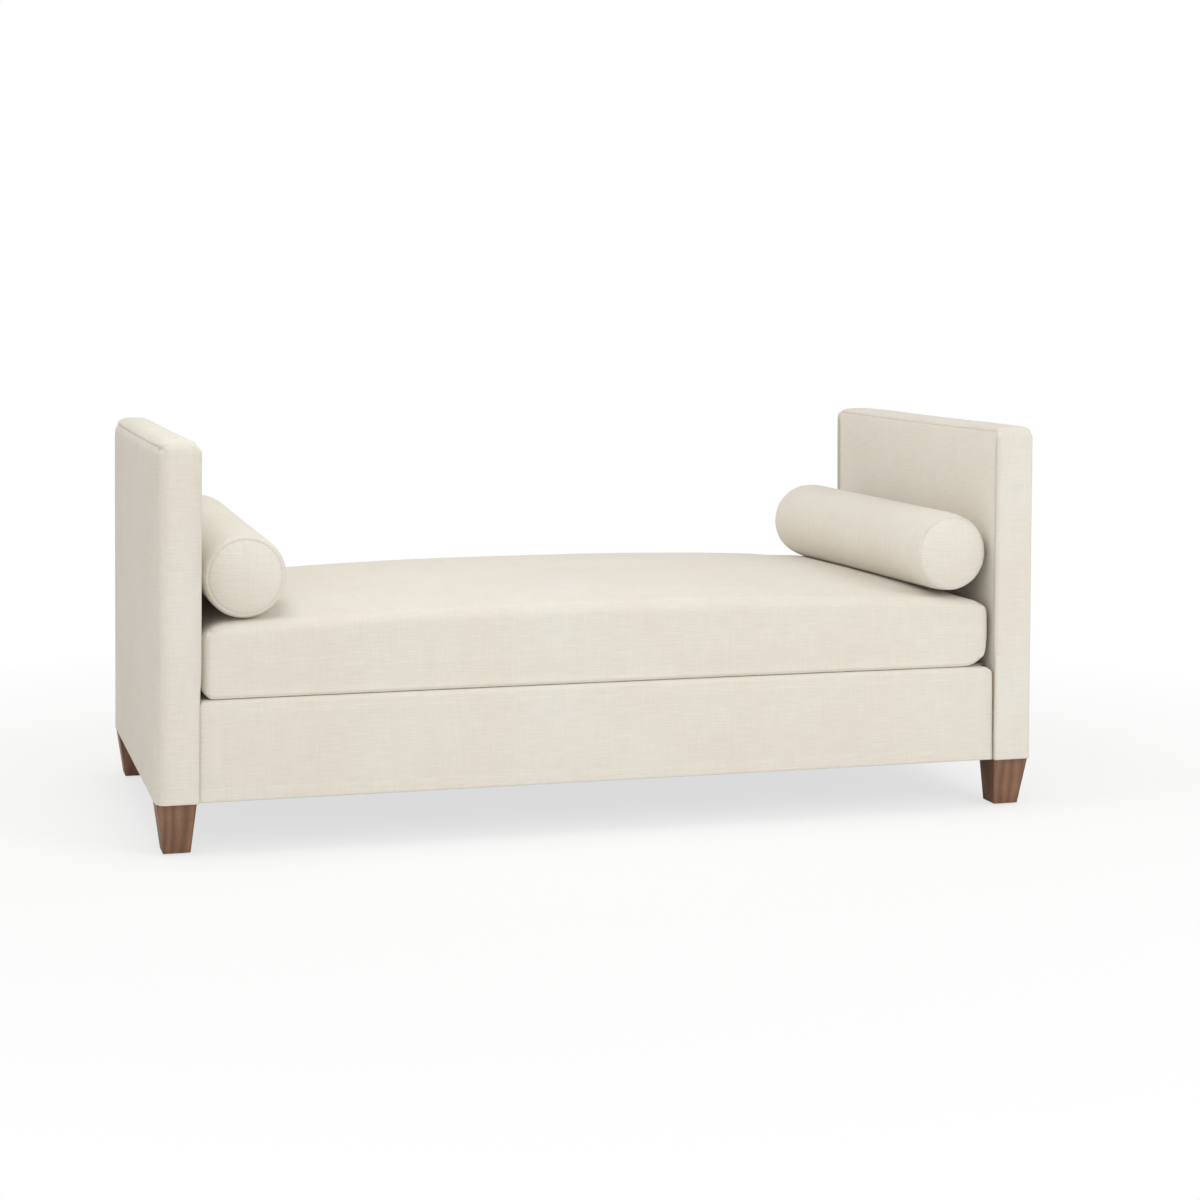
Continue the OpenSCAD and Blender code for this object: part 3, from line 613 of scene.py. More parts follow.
class Wiring:
    """A node tree with short calls that add nodes and join them."""

    def __init__(self, tree: bpy.types.NodeTree) -> None:
        """Takes over a node tree and empties it.

        Args:
            tree: The tree of a material or a group.
        """
        self.tree = tree
        tree.nodes.clear()

    def join(self, source: Any, target: bpy.types.NodeSocket) -> None:
        """Feeds a socket from another socket, or sets it to a value."""
        if isinstance(source, bpy.types.NodeSocket):
            self.tree.links.new(source, target)
        elif source is not None:
            target.default_value = source

    def add(self, kind: str, inputs: dict[str | int, Any] | None = None, **settings: Any) -> bpy.types.Node:
        """Adds a node.

        Args:
            kind: The node's type.
            inputs: Sockets or values for its inputs, by name or number.
            **settings: Values of the node's own properties.

        Returns:
            The node.
        """
        node = self.tree.nodes.new(kind)
        for key, value in settings.items():
            setattr(node, key, value)
        for key, value in (inputs or {}).items():
            self.join(value, node.inputs[key])
        return node

    def math(self, operation: str, a: Any, b: Any = None, c: Any = None) -> bpy.types.NodeSocket:
        """Works out one sum and returns its socket."""
        node = self.add("ShaderNodeMath", {0: a, 1: b, 2: c}, operation=operation)
        return node.outputs[0]

    def blend(self, share: Any, a: Any, b: Any, kind: str = "MIX") -> bpy.types.NodeSocket:
        """Mixes two colours by a share and returns the result's socket."""
        node = self.add("ShaderNodeMix", data_type="RGBA", blend_type=kind)
        self.join(share, node.inputs["Factor"])
        self.join(a, node.inputs[6])
        self.join(b, node.inputs[7])
        return node.outputs[2]

    def darken(self, colour: Any, shade: Any) -> bpy.types.NodeSocket:
        """Multiplies a colour by a shade of grey and returns the result's socket."""
        grey = self.add("ShaderNodeCombineColor", {0: shade, 1: shade, 2: shade}).outputs[0]
        return self.blend(1.0, colour, grey, "MULTIPLY")

    def fit(self, value: Any, low: float, high: float, to_low: float = 0.0, to_high: float = 1.0) -> Any:
        """Maps a range onto another, held at its ends, and returns the result's socket."""
        node = self.add(
            "ShaderNodeMapRange",
            {"Value": value, "From Min": low, "From Max": high, "To Min": to_low, "To Max": to_high},
        )
        return node.outputs[0]

    def stretch(self, vector: Any, scale: tuple[float, float, float]) -> bpy.types.NodeSocket:
        """Scales a vector by an amount along each axis and returns its socket."""
        node = self.add("ShaderNodeVectorMath", {0: vector, 1: scale}, operation="MULTIPLY")
        return node.outputs[0]

    def noise(self, vector: Any, scale: Any, detail: float = 2.0, roughness: float = 0.5) -> bpy.types.NodeSocket:
        """Adds a noise texture and returns its value socket."""
        node = self.add(
            "ShaderNodeTexNoise",
            {"Vector": vector, "Scale": scale, "Detail": detail, "Roughness": roughness},
        )
        return node.outputs[0]


def new_group(name: str, inputs: dict[str, tuple[str, Any]], outputs: dict[str, str]) -> tuple[Wiring, Any, Any]:
    """Starts a shader node group.

    Args:
        name: The group's name.
        inputs: For each input, its kind of socket and its default value.
        outputs: For each output, its kind of socket.

    Returns:
        The wiring of the group, its input node and its output node.
    """
    tree = bpy.data.node_groups.new(name, "ShaderNodeTree")
    wiring = Wiring(tree)
    for label, (kind, value) in inputs.items():
        socket = tree.interface.new_socket(name=label, in_out="INPUT", socket_type=kind)
        if value is not None:
            socket.default_value = value
    for label, kind in outputs.items():
        tree.interface.new_socket(name=label, in_out="OUTPUT", socket_type=kind)
    return wiring, wiring.add("NodeGroupInput"), wiring.add("NodeGroupOutput")


def weave_group() -> bpy.types.NodeTree:
    """Builds the plain weave that the linen, the lining and the cambric share.

    Returns:
        A group that gives the height of the threads and the slubs from a place on the cloth.
    """
    wiring, given, made = new_group(
        "plain_weave",
        {
            "Place": ("NodeSocketVector", None),
            "Threads per metre": ("NodeSocketFloat", 1000.0),
            "Slub length": ("NodeSocketFloat", 0.05),
            "Upright share": ("NodeSocketFloat", 0.35),
        },
        {"Height": "NodeSocketFloat", "Slub": "NodeSocketFloat"},
    )
    wander_scale, wander_reach = 60.0, 1.2 * MM
    crossing_share = 0.5
    slub_width, slub_apart, slub_low, slub_high = 0.45, 7.3, 0.38, 0.62
    place = given.outputs["Place"]
    density = given.outputs["Threads per metre"]
    wander = wiring.add("ShaderNodeTexNoise", {"Vector": place, "Scale": wander_scale, "Detail": 1.0})
    shift = wiring.stretch(wander.outputs[1], (wander_reach,) * 3)
    bent = wiring.add("ShaderNodeVectorMath", {0: place, 1: shift}, operation="ADD").outputs[0]
    split = wiring.add("ShaderNodeSeparateXYZ", {0: bent})
    across = wiring.math("MULTIPLY", split.outputs[0], density)
    along = wiring.math("MULTIPLY", split.outputs[1], density)
    round_u, round_v = (
        wiring.math("ABSOLUTE", wiring.math("SINE", wiring.math("MULTIPLY", way, math.pi))) for way in (across, along)
    )
    cells = wiring.math("ADD", wiring.math("FLOOR", across), wiring.math("FLOOR", along))
    warp_up = wiring.math("PINGPONG", cells, 1.0)
    warp, weft = (
        wiring.math("MULTIPLY", own, wiring.math("MULTIPLY_ADD", other, crossing_share, 1 - crossing_share))
        for own, other in ((round_u, round_v), (round_v, round_u))
    )
    lift = wiring.add("ShaderNodeMix", {"Factor": warp_up, 2: weft, 3: warp})
    height = lift.outputs[0]
    length = wiring.math("DIVIDE", 1.0, given.outputs["Slub length"])
    flat = wiring.add("ShaderNodeSeparateXYZ", {0: place})
    slubs = []
    thin = wiring.math("MULTIPLY", density, slub_width)
    for k, (first, second) in enumerate(((length, thin), (thin, length))):
        u = wiring.math("MULTIPLY", flat.outputs[0], first)
        v = wiring.math("MULTIPLY", flat.outputs[1], second)
        run = wiring.add("ShaderNodeCombineXYZ", {0: u, 1: v, 2: slub_apart * k}).outputs[0]
        slubs.append(wiring.noise(run, 1.0, 1.0))
    slub = wiring.add("ShaderNodeMix", {"Factor": given.outputs["Upright share"], 2: slubs[0], 3: slubs[1]}).outputs[0]
    wiring.join(height, made.inputs["Height"])
    wiring.join(wiring.fit(slub, slub_low, slub_high), made.inputs["Slub"])
    return wiring.tree


def mottle_group() -> bpy.types.NodeTree:
    """Builds the slow change of colour that cloth, wood and plain stuffs share.

    Returns:
        A group that gives a share from 0 to 1 from a place.
    """
    wiring, given, made = new_group(
        "mottle",
        {"Place": ("NodeSocketVector", None), "Patches per metre": ("NodeSocketFloat", 6.0)},
        {"Share": "NodeSocketFloat"},
    )
    lowest, highest = 0.32, 0.68
    cloud = wiring.noise(given.outputs["Place"], given.outputs["Patches per metre"], detail=3.0, roughness=0.55)
    wiring.join(wiring.fit(cloud, lowest, highest), made.inputs["Share"])
    return wiring.tree


def grain_group() -> bpy.types.NodeTree:
    """Builds wood grain that runs along Z of the place it is given.

    Returns:
        A group that gives the bands of the growth rings and the fine pores.
    """
    wiring, given, made = new_group(
        "wood_grain",
        {"Place": ("NodeSocketVector", None), "Rings per metre": ("NodeSocketFloat", 90.0)},
        {"Bands": "NodeSocketFloat", "Pores": "NodeSocketFloat"},
    )
    drift_scale, fine_scale, pore_scale = (7.0, 7.0, 2.2), (420.0, 420.0, 11.0), (1500.0, 1500.0, 55.0)
    lean, drift_rings, fine_share, pore_low, pore_high = 0.35, 9.0, 0.4, 0.52, 0.7
    place = given.outputs["Place"]
    rings = given.outputs["Rings per metre"]
    drift = wiring.noise(wiring.stretch(place, drift_scale), 1.0)
    split = wiring.add("ShaderNodeSeparateXYZ", {0: place})
    slant = wiring.math("MULTIPLY_ADD", split.outputs[1], lean, split.outputs[0])
    depth = wiring.math("MULTIPLY", slant, rings)
    depth = wiring.math("MULTIPLY_ADD", drift, drift_rings, depth)
    wave = wiring.math("PINGPONG", depth, 1.0)
    fine = wiring.noise(wiring.stretch(place, fine_scale), 1.0, detail=3.0, roughness=0.6)
    bands = wiring.math("MULTIPLY_ADD", wave, 1 - fine_share, wiring.math("MULTIPLY", fine, fine_share))
    pores = wiring.noise(wiring.stretch(place, pore_scale), 1.0, detail=1.0)
    wiring.join(bands, made.inputs["Bands"])
    wiring.join(wiring.fit(pores, pore_low, pore_high), made.inputs["Pores"])
    return wiring.tree


class Effects:
    """The node groups that several materials share, each built once."""

    def __init__(self) -> None:
        """Builds the groups."""
        self.weave = weave_group()
        self.mottle = mottle_group()
        self.grain = grain_group()


class Finish:
    """A material under construction: its wiring, its shader and its output."""

    def __init__(self, name: str, **constants: Any) -> None:
        """Starts a material with one Principled shader.

        Args:
            name: The material's name.
            **constants: Values for the shader's own sockets, with underscores for spaces.
        """
        self.material = bpy.data.materials.new(name)
        self.material.use_nodes = True
        self.wiring = Wiring(self.material.node_tree)
        self.shader = self.wiring.add("ShaderNodeBsdfPrincipled")
        output = self.wiring.add("ShaderNodeOutputMaterial")
        self.wiring.join(self.shader.outputs[0], output.inputs["Surface"])
        for key, value in constants.items():
            self.shader.inputs[key.replace("_", " ")].default_value = value

    def group(self, tree: bpy.types.NodeTree, **inputs: Any) -> bpy.types.Node:
        """Places a shared effect in this material.

        Args:
            tree: The effect's node group.
            **inputs: Its inputs, with underscores for spaces.

        Returns:
            The group's node.
        """
        node = self.wiring.add("ShaderNodeGroup", node_tree=tree)
        for key, value in inputs.items():
            self.wiring.join(value, node.inputs[key.replace("_", " ")])
        return node

    def place(self) -> bpy.types.NodeSocket:
        """Returns the place of a point in the part's frame."""
        return self.wiring.add("ShaderNodeTexCoord").outputs["Object"]

    def on_cloth(self) -> bpy.types.NodeSocket:
        """Returns the place of a point on the flat cloth."""
        return self.wiring.add("ShaderNodeUVMap", uv_map=CLOTH_UV).outputs[0]

    def feed(self, name: str, source: Any) -> None:
        """Feeds one of the shader's sockets."""
        self.wiring.join(source, self.shader.inputs[name])

    def bump(self, height: Any, distance: float, strength: float = 1.0) -> None:
        """Raises the surface by a height, in metres at 1, where light meets it."""
        node = self.wiring.add("ShaderNodeBump", {"Height": height, "Distance": distance, "Strength": strength})
        self.feed("Normal", node.outputs[0])


@dataclass(frozen=True)
class Cloth:
    """A woven cloth with two close tints, slubs and sewn lines darkened by painted shade."""

    name: str
    cool: tuple[float, float, float, float]
    warm: tuple[float, float, float, float]
    threads: float = 1050.0
    thread_height: float = 0.35 * MM
    slub_length: float = 0.05
    slub_contrast: float = 0.065
    thread_contrast: float = 0.1
    # How far painted shade darkens the colour on a sewn line, at full strength.
    painted_seam_shade: float = 0.12
    patches: float = 4.5
    rough: float = 0.88
    slub_gloss: float = 0.08
    slub_height: float = 0.5
    gloss: float = 0.25
    sheen: float = 0.12
    sheen_rough: float = 0.45
    relief_strength: float = 0.6

    def material(self, effects: Effects) -> bpy.types.Material:
        """Builds the material.

        Args:
            effects: The shared node groups.

        Returns:
            The material.
        """
        finish = Finish(
            self.name, Specular_IOR_Level=self.gloss, Sheen_Weight=self.sheen, Sheen_Roughness=self.sheen_rough
        )
        wiring = finish.wiring
        place = finish.on_cloth()
        weave = finish.group(
            effects.weave, Place=place, Threads_per_metre=self.threads, Slub_length=self.slub_length
        )
        mottle = finish.group(effects.mottle, Place=place, Patches_per_metre=self.patches)
        colour = wiring.blend(mottle.outputs["Share"], self.cool, self.warm)
        slub = wiring.math("MULTIPLY_ADD", weave.outputs["Slub"], self.slub_contrast, 1 - self.slub_contrast / 2)
        thread = wiring.math(
            "MULTIPLY_ADD", weave.outputs["Height"], self.thread_contrast, 1 - 0.6 * self.thread_contrast
        )
        # Painted shade: the stored seam attribute darkens the colour along sewn lines, in place of the shadow in their
        # grooves.
        seam = wiring.add("ShaderNodeAttribute", attribute_name=SEAM_SHADE_ATTRIBUTE).outputs["Fac"]
        sewn = wiring.math("MULTIPLY_ADD", seam, -self.painted_seam_shade, 1.0)
        shade = wiring.math("MULTIPLY", wiring.math("MULTIPLY", slub, thread), sewn)
        finish.feed("Base Color", wiring.darken(colour, shade))
        finish.feed("Roughness", wiring.math("MULTIPLY_ADD", weave.outputs["Slub"], -self.slub_gloss, self.rough))
        relief = wiring.math("MULTIPLY_ADD", weave.outputs["Slub"], self.slub_height, weave.outputs["Height"])
        finish.bump(relief, self.thread_height, self.relief_strength)
        return finish.material


@dataclass(frozen=True)
class Wood:
    """A wood whose grain runs along one axis, with pores and a clear coat."""

    name: str
    light: tuple[float, float, float, float]
    dark: tuple[float, float, float, float]
    along: Axis = Axis.Z
    rings: float = 90.0
    patches: float = 18.0
    patch_contrast: float = 0.24
    pore_shade: float = 0.55
    pore_share: float = 0.45
    pore_rough: float = 0.2
    band_height: float = 0.4
    rough: float = 0.45
    coat: float = 0.1
    relief: float = 0.15 * MM
    relief_strength: float = 0.5

    def material(self, effects: Effects) -> bpy.types.Material:
        """Builds the material.

        Args:
            effects: The shared node groups.

        Returns:
            The material.
        """
        finish = Finish(self.name, Specular_IOR_Level=0.4, Coat_Weight=self.coat, Coat_Roughness=0.3)
        wiring = finish.wiring
        split = wiring.add("ShaderNodeSeparateXYZ", {0: finish.place()})
        order = [(self.along.value + k) % 3 for k in (1, 2, 3)]
        turned = wiring.add("ShaderNodeCombineXYZ", {k: split.outputs[order[k]] for k in range(3)}).outputs[0]
        grain = finish.group(effects.grain, Place=turned, Rings_per_metre=self.rings)
        mottle = finish.group(effects.mottle, Place=turned, Patches_per_metre=self.patches)
        bands, pores = grain.outputs["Bands"], grain.outputs["Pores"]
        colour = wiring.blend(bands, self.dark, self.light)
        deep = tuple(self.pore_shade * c for c in self.dark[:3]) + (1.0,)
        colour = wiring.blend(wiring.math("MULTIPLY", pores, self.pore_share), colour, deep)
        darkest = 1 - self.patch_contrast / 2
        pale = wiring.math("MULTIPLY_ADD", mottle.outputs["Share"], self.patch_contrast, darkest)
        finish.feed("Base Color", wiring.darken(colour, pale))
        finish.feed("Roughness", wiring.math("MULTIPLY_ADD", pores, self.pore_rough, self.rough))
        relief = wiring.math("SUBTRACT", wiring.math("MULTIPLY", bands, self.band_height), pores)
        finish.bump(relief, self.relief, self.relief_strength)
        return finish.material


@dataclass(frozen=True)
class Speckled:
    """A plain stuff with a soft speckle: board, felt, nylon or metal."""

    name: str
    light: tuple[float, float, float, float]
    dark: tuple[float, float, float, float]
    specks: float = 400.0
    rough: float = 0.8
    metal: float = 0.0
    patches: float = 25.0
    speck_share: float = 0.65
    rough_spread: float = 0.08
    relief: float = 0.2 * MM
    relief_strength: float = 0.4

    def material(self, effects: Effects) -> bpy.types.Material:
        """Builds the material.

        Args:
            effects: The shared node groups.

        Returns:
            The material.
        """
        finish = Finish(self.name, Metallic=self.metal)
        wiring = finish.wiring
        place = finish.place()
        speck = wiring.noise(place, self.specks, detail=3.0, roughness=0.6)
        mottle = finish.group(effects.mottle, Place=place, Patches_per_metre=self.patches)
        specks = wiring.math("MULTIPLY", speck, self.speck_share)
        share = wiring.math("MULTIPLY_ADD", mottle.outputs["Share"], 1 - self.speck_share, specks)
        finish.feed("Base Color", wiring.blend(share, self.dark, self.light))
        smoothest, roughest = self.rough - self.rough_spread, self.rough + self.rough_spread
        finish.feed("Roughness", wiring.fit(speck, 0.2, 0.8, smoothest, roughest))
        finish.bump(speck, self.relief, self.relief_strength)
        return finish.material


class Shop:
    """Every material of the divan, by the name of its stuff."""

    def __init__(self) -> None:
        """Builds the shared effects and the materials."""
        effects = Effects()
        pale_linen, warm_linen = tint(233, 228, 218), tint(231, 223, 211)
        metal = {"specks": 250.0, "metal": 1.0, "relief": 0.05 * MM}
        finishes = {
            "linen": Cloth("ivory_linen", pale_linen, warm_linen),
            "lining": Cloth("deck_lining", tint(216, 208, 190), tint(208, 200, 182), threads=1600, slub_contrast=0.04),
            "cambric": Cloth(
                "black_cambric", tint(46, 46, 48), tint(38, 38, 41), threads=1300, slub_contrast=0.15, sheen=0.05
            ),
            "zip_tape": Cloth("zip_tape", tint(226, 221, 208), tint(220, 214, 200), threads=2200, slub_contrast=0.03),
            "walnut": Wood("walnut", tint(154, 113, 86), tint(103, 73, 54)),
            "timber": Wood(
                "frame_timber", tint(206, 178, 138), tint(182, 150, 108), Axis.Y, rings=60, rough=0.6, coat=0
            ),
            "hardboard": Speckled("hardboard", tint(146, 112, 82), tint(112, 82, 58)),
            "felt": Speckled("felt", tint(160, 152, 136), tint(120, 112, 98), specks=700, rough=0.95),
            "steel": Speckled("spring_steel", tint(150, 150, 154), tint(118, 118, 122), rough=0.4, **metal),
            "zinc": Speckled("zinc_steel", tint(206, 208, 212), tint(178, 180, 186), rough=0.35, **metal),
            "brass": Speckled("brass", tint(214, 186, 130), tint(190, 158, 100), rough=0.35, **metal),
            "nylon": Speckled("nylon", tint(74, 70, 66), tint(56, 52, 48), specks=500, rough=0.5),
            "coil": Speckled("zip_coil", tint(228, 224, 212), tint(214, 208, 194), specks=500, rough=0.45),
        }
        self.materials = {stuff: finish.material(effects) for stuff, finish in finishes.items()}

    def __getitem__(self, stuff: str) -> bpy.types.Material:
        """Returns the material of a stuff."""
        return self.materials[stuff]


# The divan


@dataclass
class Arm:
    """An upholstered arm: two side panels sewn to a boxing that goes up the front, over the top and down
    the back."""

    side: Side
    lean: float = 3 * MM
    inner_lean: float = 0.0
    lean_from: float = 170 * MM
    front_rise: float = 5 * MM
    edge_radius: float = 28 * MM
    fold_radius: float = 27 * MM
    outer_corner: float = 32 * MM
    inner_corner: float = 5 * MM
    foot_radius: float = 4 * MM
    rear_foot_radius: float = 13 * MM
    top_seam_at: float = 5.1 * MM
    end_seam_at: float = 8.3 * MM
    # The last value of each seam is the strength of its painted shade; beside the front and the back it is strong and
    # wide, in place of the shadow in the valley behind the boxing's rim.
    top_seam: Seam = Seam(0.8 * MM, 1.8 * MM, 0.22)
    end_seam: Seam = Seam(3 * MM, 1.8 * MM, 2.6)
    end_shade_width: float = 6.5 * MM
    outer_end_share: float = 0.1
    end_reach: float = 25 * MM
    top_dip: float = 2.4 * MM
    end_dip: float = 1.8 * MM
    dip_reach: float = 22 * MM
    roll: float = 3.0 * MM
    outer_roll_share: float = 0.4
    roll_reach: float = 9 * MM
    roll_from: float = 305 * MM
    roll_rise: float = 40 * MM
    top_crown: float = 5.5 * MM
    crown_reach_share: float = 5
    crown_end_share: float = 0.4
    puckers: Puckers = Puckers(0.6 * MM, 8 * MM, (7 * MM, 4.6 * MM, 11 * MM), (1, 0.7, 0.5))
    unevenness: Unevenness = Unevenness(0.6 * MM, 450 * MM, seed=11)
    near_x: tuple[float, ...] = (
        0, 2.5 * MM, 5.5 * MM, 9 * MM, 13 * MM, 17.5 * MM, 22.5 * MM, 29 * MM, 36 * MM
    )
    near_y: tuple[float, ...] = (
        0, 1.5 * MM, 3 * MM, 4.7 * MM, 6.5 * MM, 8.3 * MM, 10.1 * MM, 12.5 * MM, 16 * MM, 21 * MM, 27 * MM, 34 * MM,
        42 * MM, 52 * MM
    )
    near_z: tuple[float, ...] = (
        0, 1.5 * MM, 2.9 * MM, 4 * MM, 5.1 * MM, 6.5 * MM, 8.5 * MM, 11 * MM, 15 * MM, 20 * MM, 26 * MM, 32 * MM,
        40 * MM, 52 * MM
    )
    step: float = 28 * MM

    def build(self, shop: Shop) -> bpy.types.Object:
        """Builds the arm's upholstery.

        Args:
            shop: The materials.

        Returns:
            The finished piece.
        """
        name = f"{self.side.name.lower()}_arm"
        low, high = self.low, self.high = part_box(f"{name}_cover")
        lines = spread_over(low, high, (self.near_x, self.near_y, self.near_z), self.step)
        piece = grid_block(f"{name}_upholstery", lines)
        block = points_of(piece)
        lay_cloth_uv(piece, block, sides_hang=False)
        self._round(piece, block)
        self._sew(piece, block)
        upholster(piece, "base", shop["linen"], 0.95, f"{name}_cover", f"{name}_padding")
        return piece

    def _round(self, piece: bpy.types.Object, block: np.ndarray) -> None:
        """Rounds the upright corners, the long top edges, the folds and the foot, and lets the outer side
        lean out and the front rise towards the top.

        Args:
            piece: The gridded block.
            block: Its points before rounding.
        """
        low, high = self.low, self.high
        points = block.copy()
        for x, into_x in ((low.x, 1), (high.x, -1)):
            corner = self.inner_corner if into_x == self.side.value else self.outer_corner
            for y, into_y in ((low.y, 1), (high.y, -1)):
                round_corner(points, (Axis.X, Axis.Y), (x, y), (into_x, into_y), corner)
            round_corner(points, (Axis.X, Axis.Z), (x, high.z), (into_x, -1), self.edge_radius)
            round_corner(points, (Axis.X, Axis.Z), (x, low.z), (into_x, 1), self.foot_radius)
        for y, into_y in ((low.y, 1), (high.y, -1)):
            foot = self.foot_radius if into_y > 0 else self.rear_foot_radius
            round_corner(points, (Axis.Y, Axis.Z), (y, high.z), (into_y, -1), self.fold_radius)
            round_corner(points, (Axis.Y, Axis.Z), (y, low.z), (into_y, 1), foot)
        inner_x = low.x if self.side is Side.RIGHT else high.x
        outward = np.abs(points[:, 0] - inner_x) / (high.x - low.x)
        rise = np.clip((points[:, 2] - self.lean_from) / (high.z - self.lean_from), 0, 1)
        forward = np.clip((high.y - block[:, 1]) / (high.y - low.y), 0, 1)
        inner = self.inner_lean * (1 - outward) * forward**2
        points[:, 0] += self.side.value * (self.lean * outward + inner) * rise
        points[:, 2] += self.front_rise * forward**3 * rise
        place_points(piece, points)

    def _sew(self, piece: bpy.types.Object, block: np.ndarray) -> None:
        """Draws the cloth in along the seams between the boxing and the side panels, paints shade along them, rolls
        the boxing's rims out and crowns the top.

        Args:
            piece: The rounded block.
            block: Its points before rounding.
        """
        low, high = self.low, self.high
        from_end = np.minimum(block[:, 1] - low.y, high.y - block[:, 1])
        from_top = high.z - block[:, 2]
        past_top, past_end = from_top - self.top_seam_at, from_end - self.end_seam_at
        from_side = np.minimum(block[:, 0] - low.x, high.x - block[:, 0])
        on_side = from_side < CLOSE
        across = np.where(on_side, np.minimum(past_top, past_end), -self.top_seam_at - from_side)
        inside = np.maximum(across, 0)
        foot_share = np.clip((block[:, 2] - low.z) / (3 * self.dip_reach), 0, 1)
        at_end = np.clip((past_top - past_end) / self.end_reach, 0, 1)
        outer = block[:, 0] * self.side.value > (low.x + high.x) / 2 * self.side.value
        share = 1 - (1 - self.outer_end_share) * at_end * outer
        dip = blend(self.top_dip, self.end_dip, at_end)
        amount = blend(self.top_seam.pull(across), self.end_seam.pull(across), at_end) * share
        amount -= dip * np.exp(-inside / self.dip_reach) * (across > 0) * foot_share * share
        above = np.clip((block[:, 2] - self.roll_from) / self.roll_rise, 0, 1)
        rim = np.exp(-np.square((across + self.roll_reach / 2) / self.roll_reach))
        amount += self.roll * rim * above * share * np.where(outer, self.outer_roll_share, 1)
        on_top = np.clip(1 - from_top / (2 * self.edge_radius), 0, 1)
        half = (high.x - low.x) / 2
        along = np.minimum(from_end / (self.crown_reach_share * half), 1)
        crown = blend(self.crown_end_share, 1, np.sin(np.pi * along / 2))
        amount += self.top_crown * on_top * np.sin(np.pi * from_side / half / 2) * crown
        amount += self.puckers.pull(across, block[:, 1] + block[:, 2]) * on_side
        calm = 1 - np.exp(-np.abs(across) / self.dip_reach)
        amount += self.unevenness.pull(block, self.side.value) * calm
        push(piece, amount)
        # Paints shade along the seams, widest and darkest beside the front and the back.
        shade_width = blend(self.top_seam.width, self.end_shade_width, at_end)
        paint_seam_shade(piece, across, shade_width, blend(self.top_seam.mark, self.end_seam.mark, at_end) * share)


@dataclass
class SeatRail:
    """The upholstered front or rear rail of the seat, between the arms."""

    end: End
    edge_radius: float = 9 * MM
    foot_radius: float = 4 * MM
    end_radius: float = 1.3 * MM
    left_top_radius: float = 10 * MM
    right_top_radius: float = 18 * MM
    unevenness: Unevenness = Unevenness(0.5 * MM, 500 * MM, seed=21)
    near_ends: tuple[float, ...] = (0, 0.6 * MM, 1.3 * MM, 3 * MM, 6 * MM, 9 * MM, 14 * MM, 22 * MM, 34 * MM)
    near_face: tuple[float, ...] = (0, 1.3 * MM, 2.6 * MM, 4 * MM, 6 * MM, 9 * MM, 13 * MM)
    near_top: tuple[float, ...] = (0, 1.5 * MM, 3 * MM, 5 * MM, 7 * MM, 9 * MM, 14 * MM, 22 * MM)
    step: float = 40 * MM

    def build(self, shop: Shop) -> bpy.types.Object:
        """Builds the rail's upholstery.

        Args:
            shop: The materials.

        Returns:
            The finished piece.
        """
        name = f"{self.end.name.lower()}_rail"
        low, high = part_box(f"{name}_cover")
        lines = spread_over(low, high, (self.near_ends, self.near_face, self.near_top), self.step)
        piece = grid_block(f"{name}_upholstery", lines)
        block = points_of(piece)
        lay_cloth_uv(piece, block, sides_hang=True)
        points = block.copy()
        face_y, into_y = (low.y, 1) if self.end is End.FRONT else (high.y, -1)
        for x, into_x, top_radius in ((low.x, 1, self.left_top_radius), (high.x, -1, self.right_top_radius)):
            round_corner(points, (Axis.X, Axis.Y), (x, face_y), (into_x, into_y), self.end_radius)
            round_corner(points, (Axis.X, Axis.Z), (x, high.z), (into_x, -1), top_radius)
        round_corner(points, (Axis.Y, Axis.Z), (face_y, high.z), (into_y, -1), self.edge_radius)
        round_corner(points, (Axis.Y, Axis.Z), (face_y, low.z), (into_y, 1), self.foot_radius)
        place_points(piece, points)
        from_end = np.minimum(block[:, 0] - low.x, high.x - block[:, 0])
        calm = np.clip(from_end / self.near_ends[-1], 0, 1) * (np.abs(block[:, 1] - face_y) < self.edge_radius)
        push(piece, self.unevenness.pull(block, self.end.value) * calm)
        upholster(piece, "base", shop["linen"], 0.95, f"{name}_cover", f"{name}_padding")
        return piece


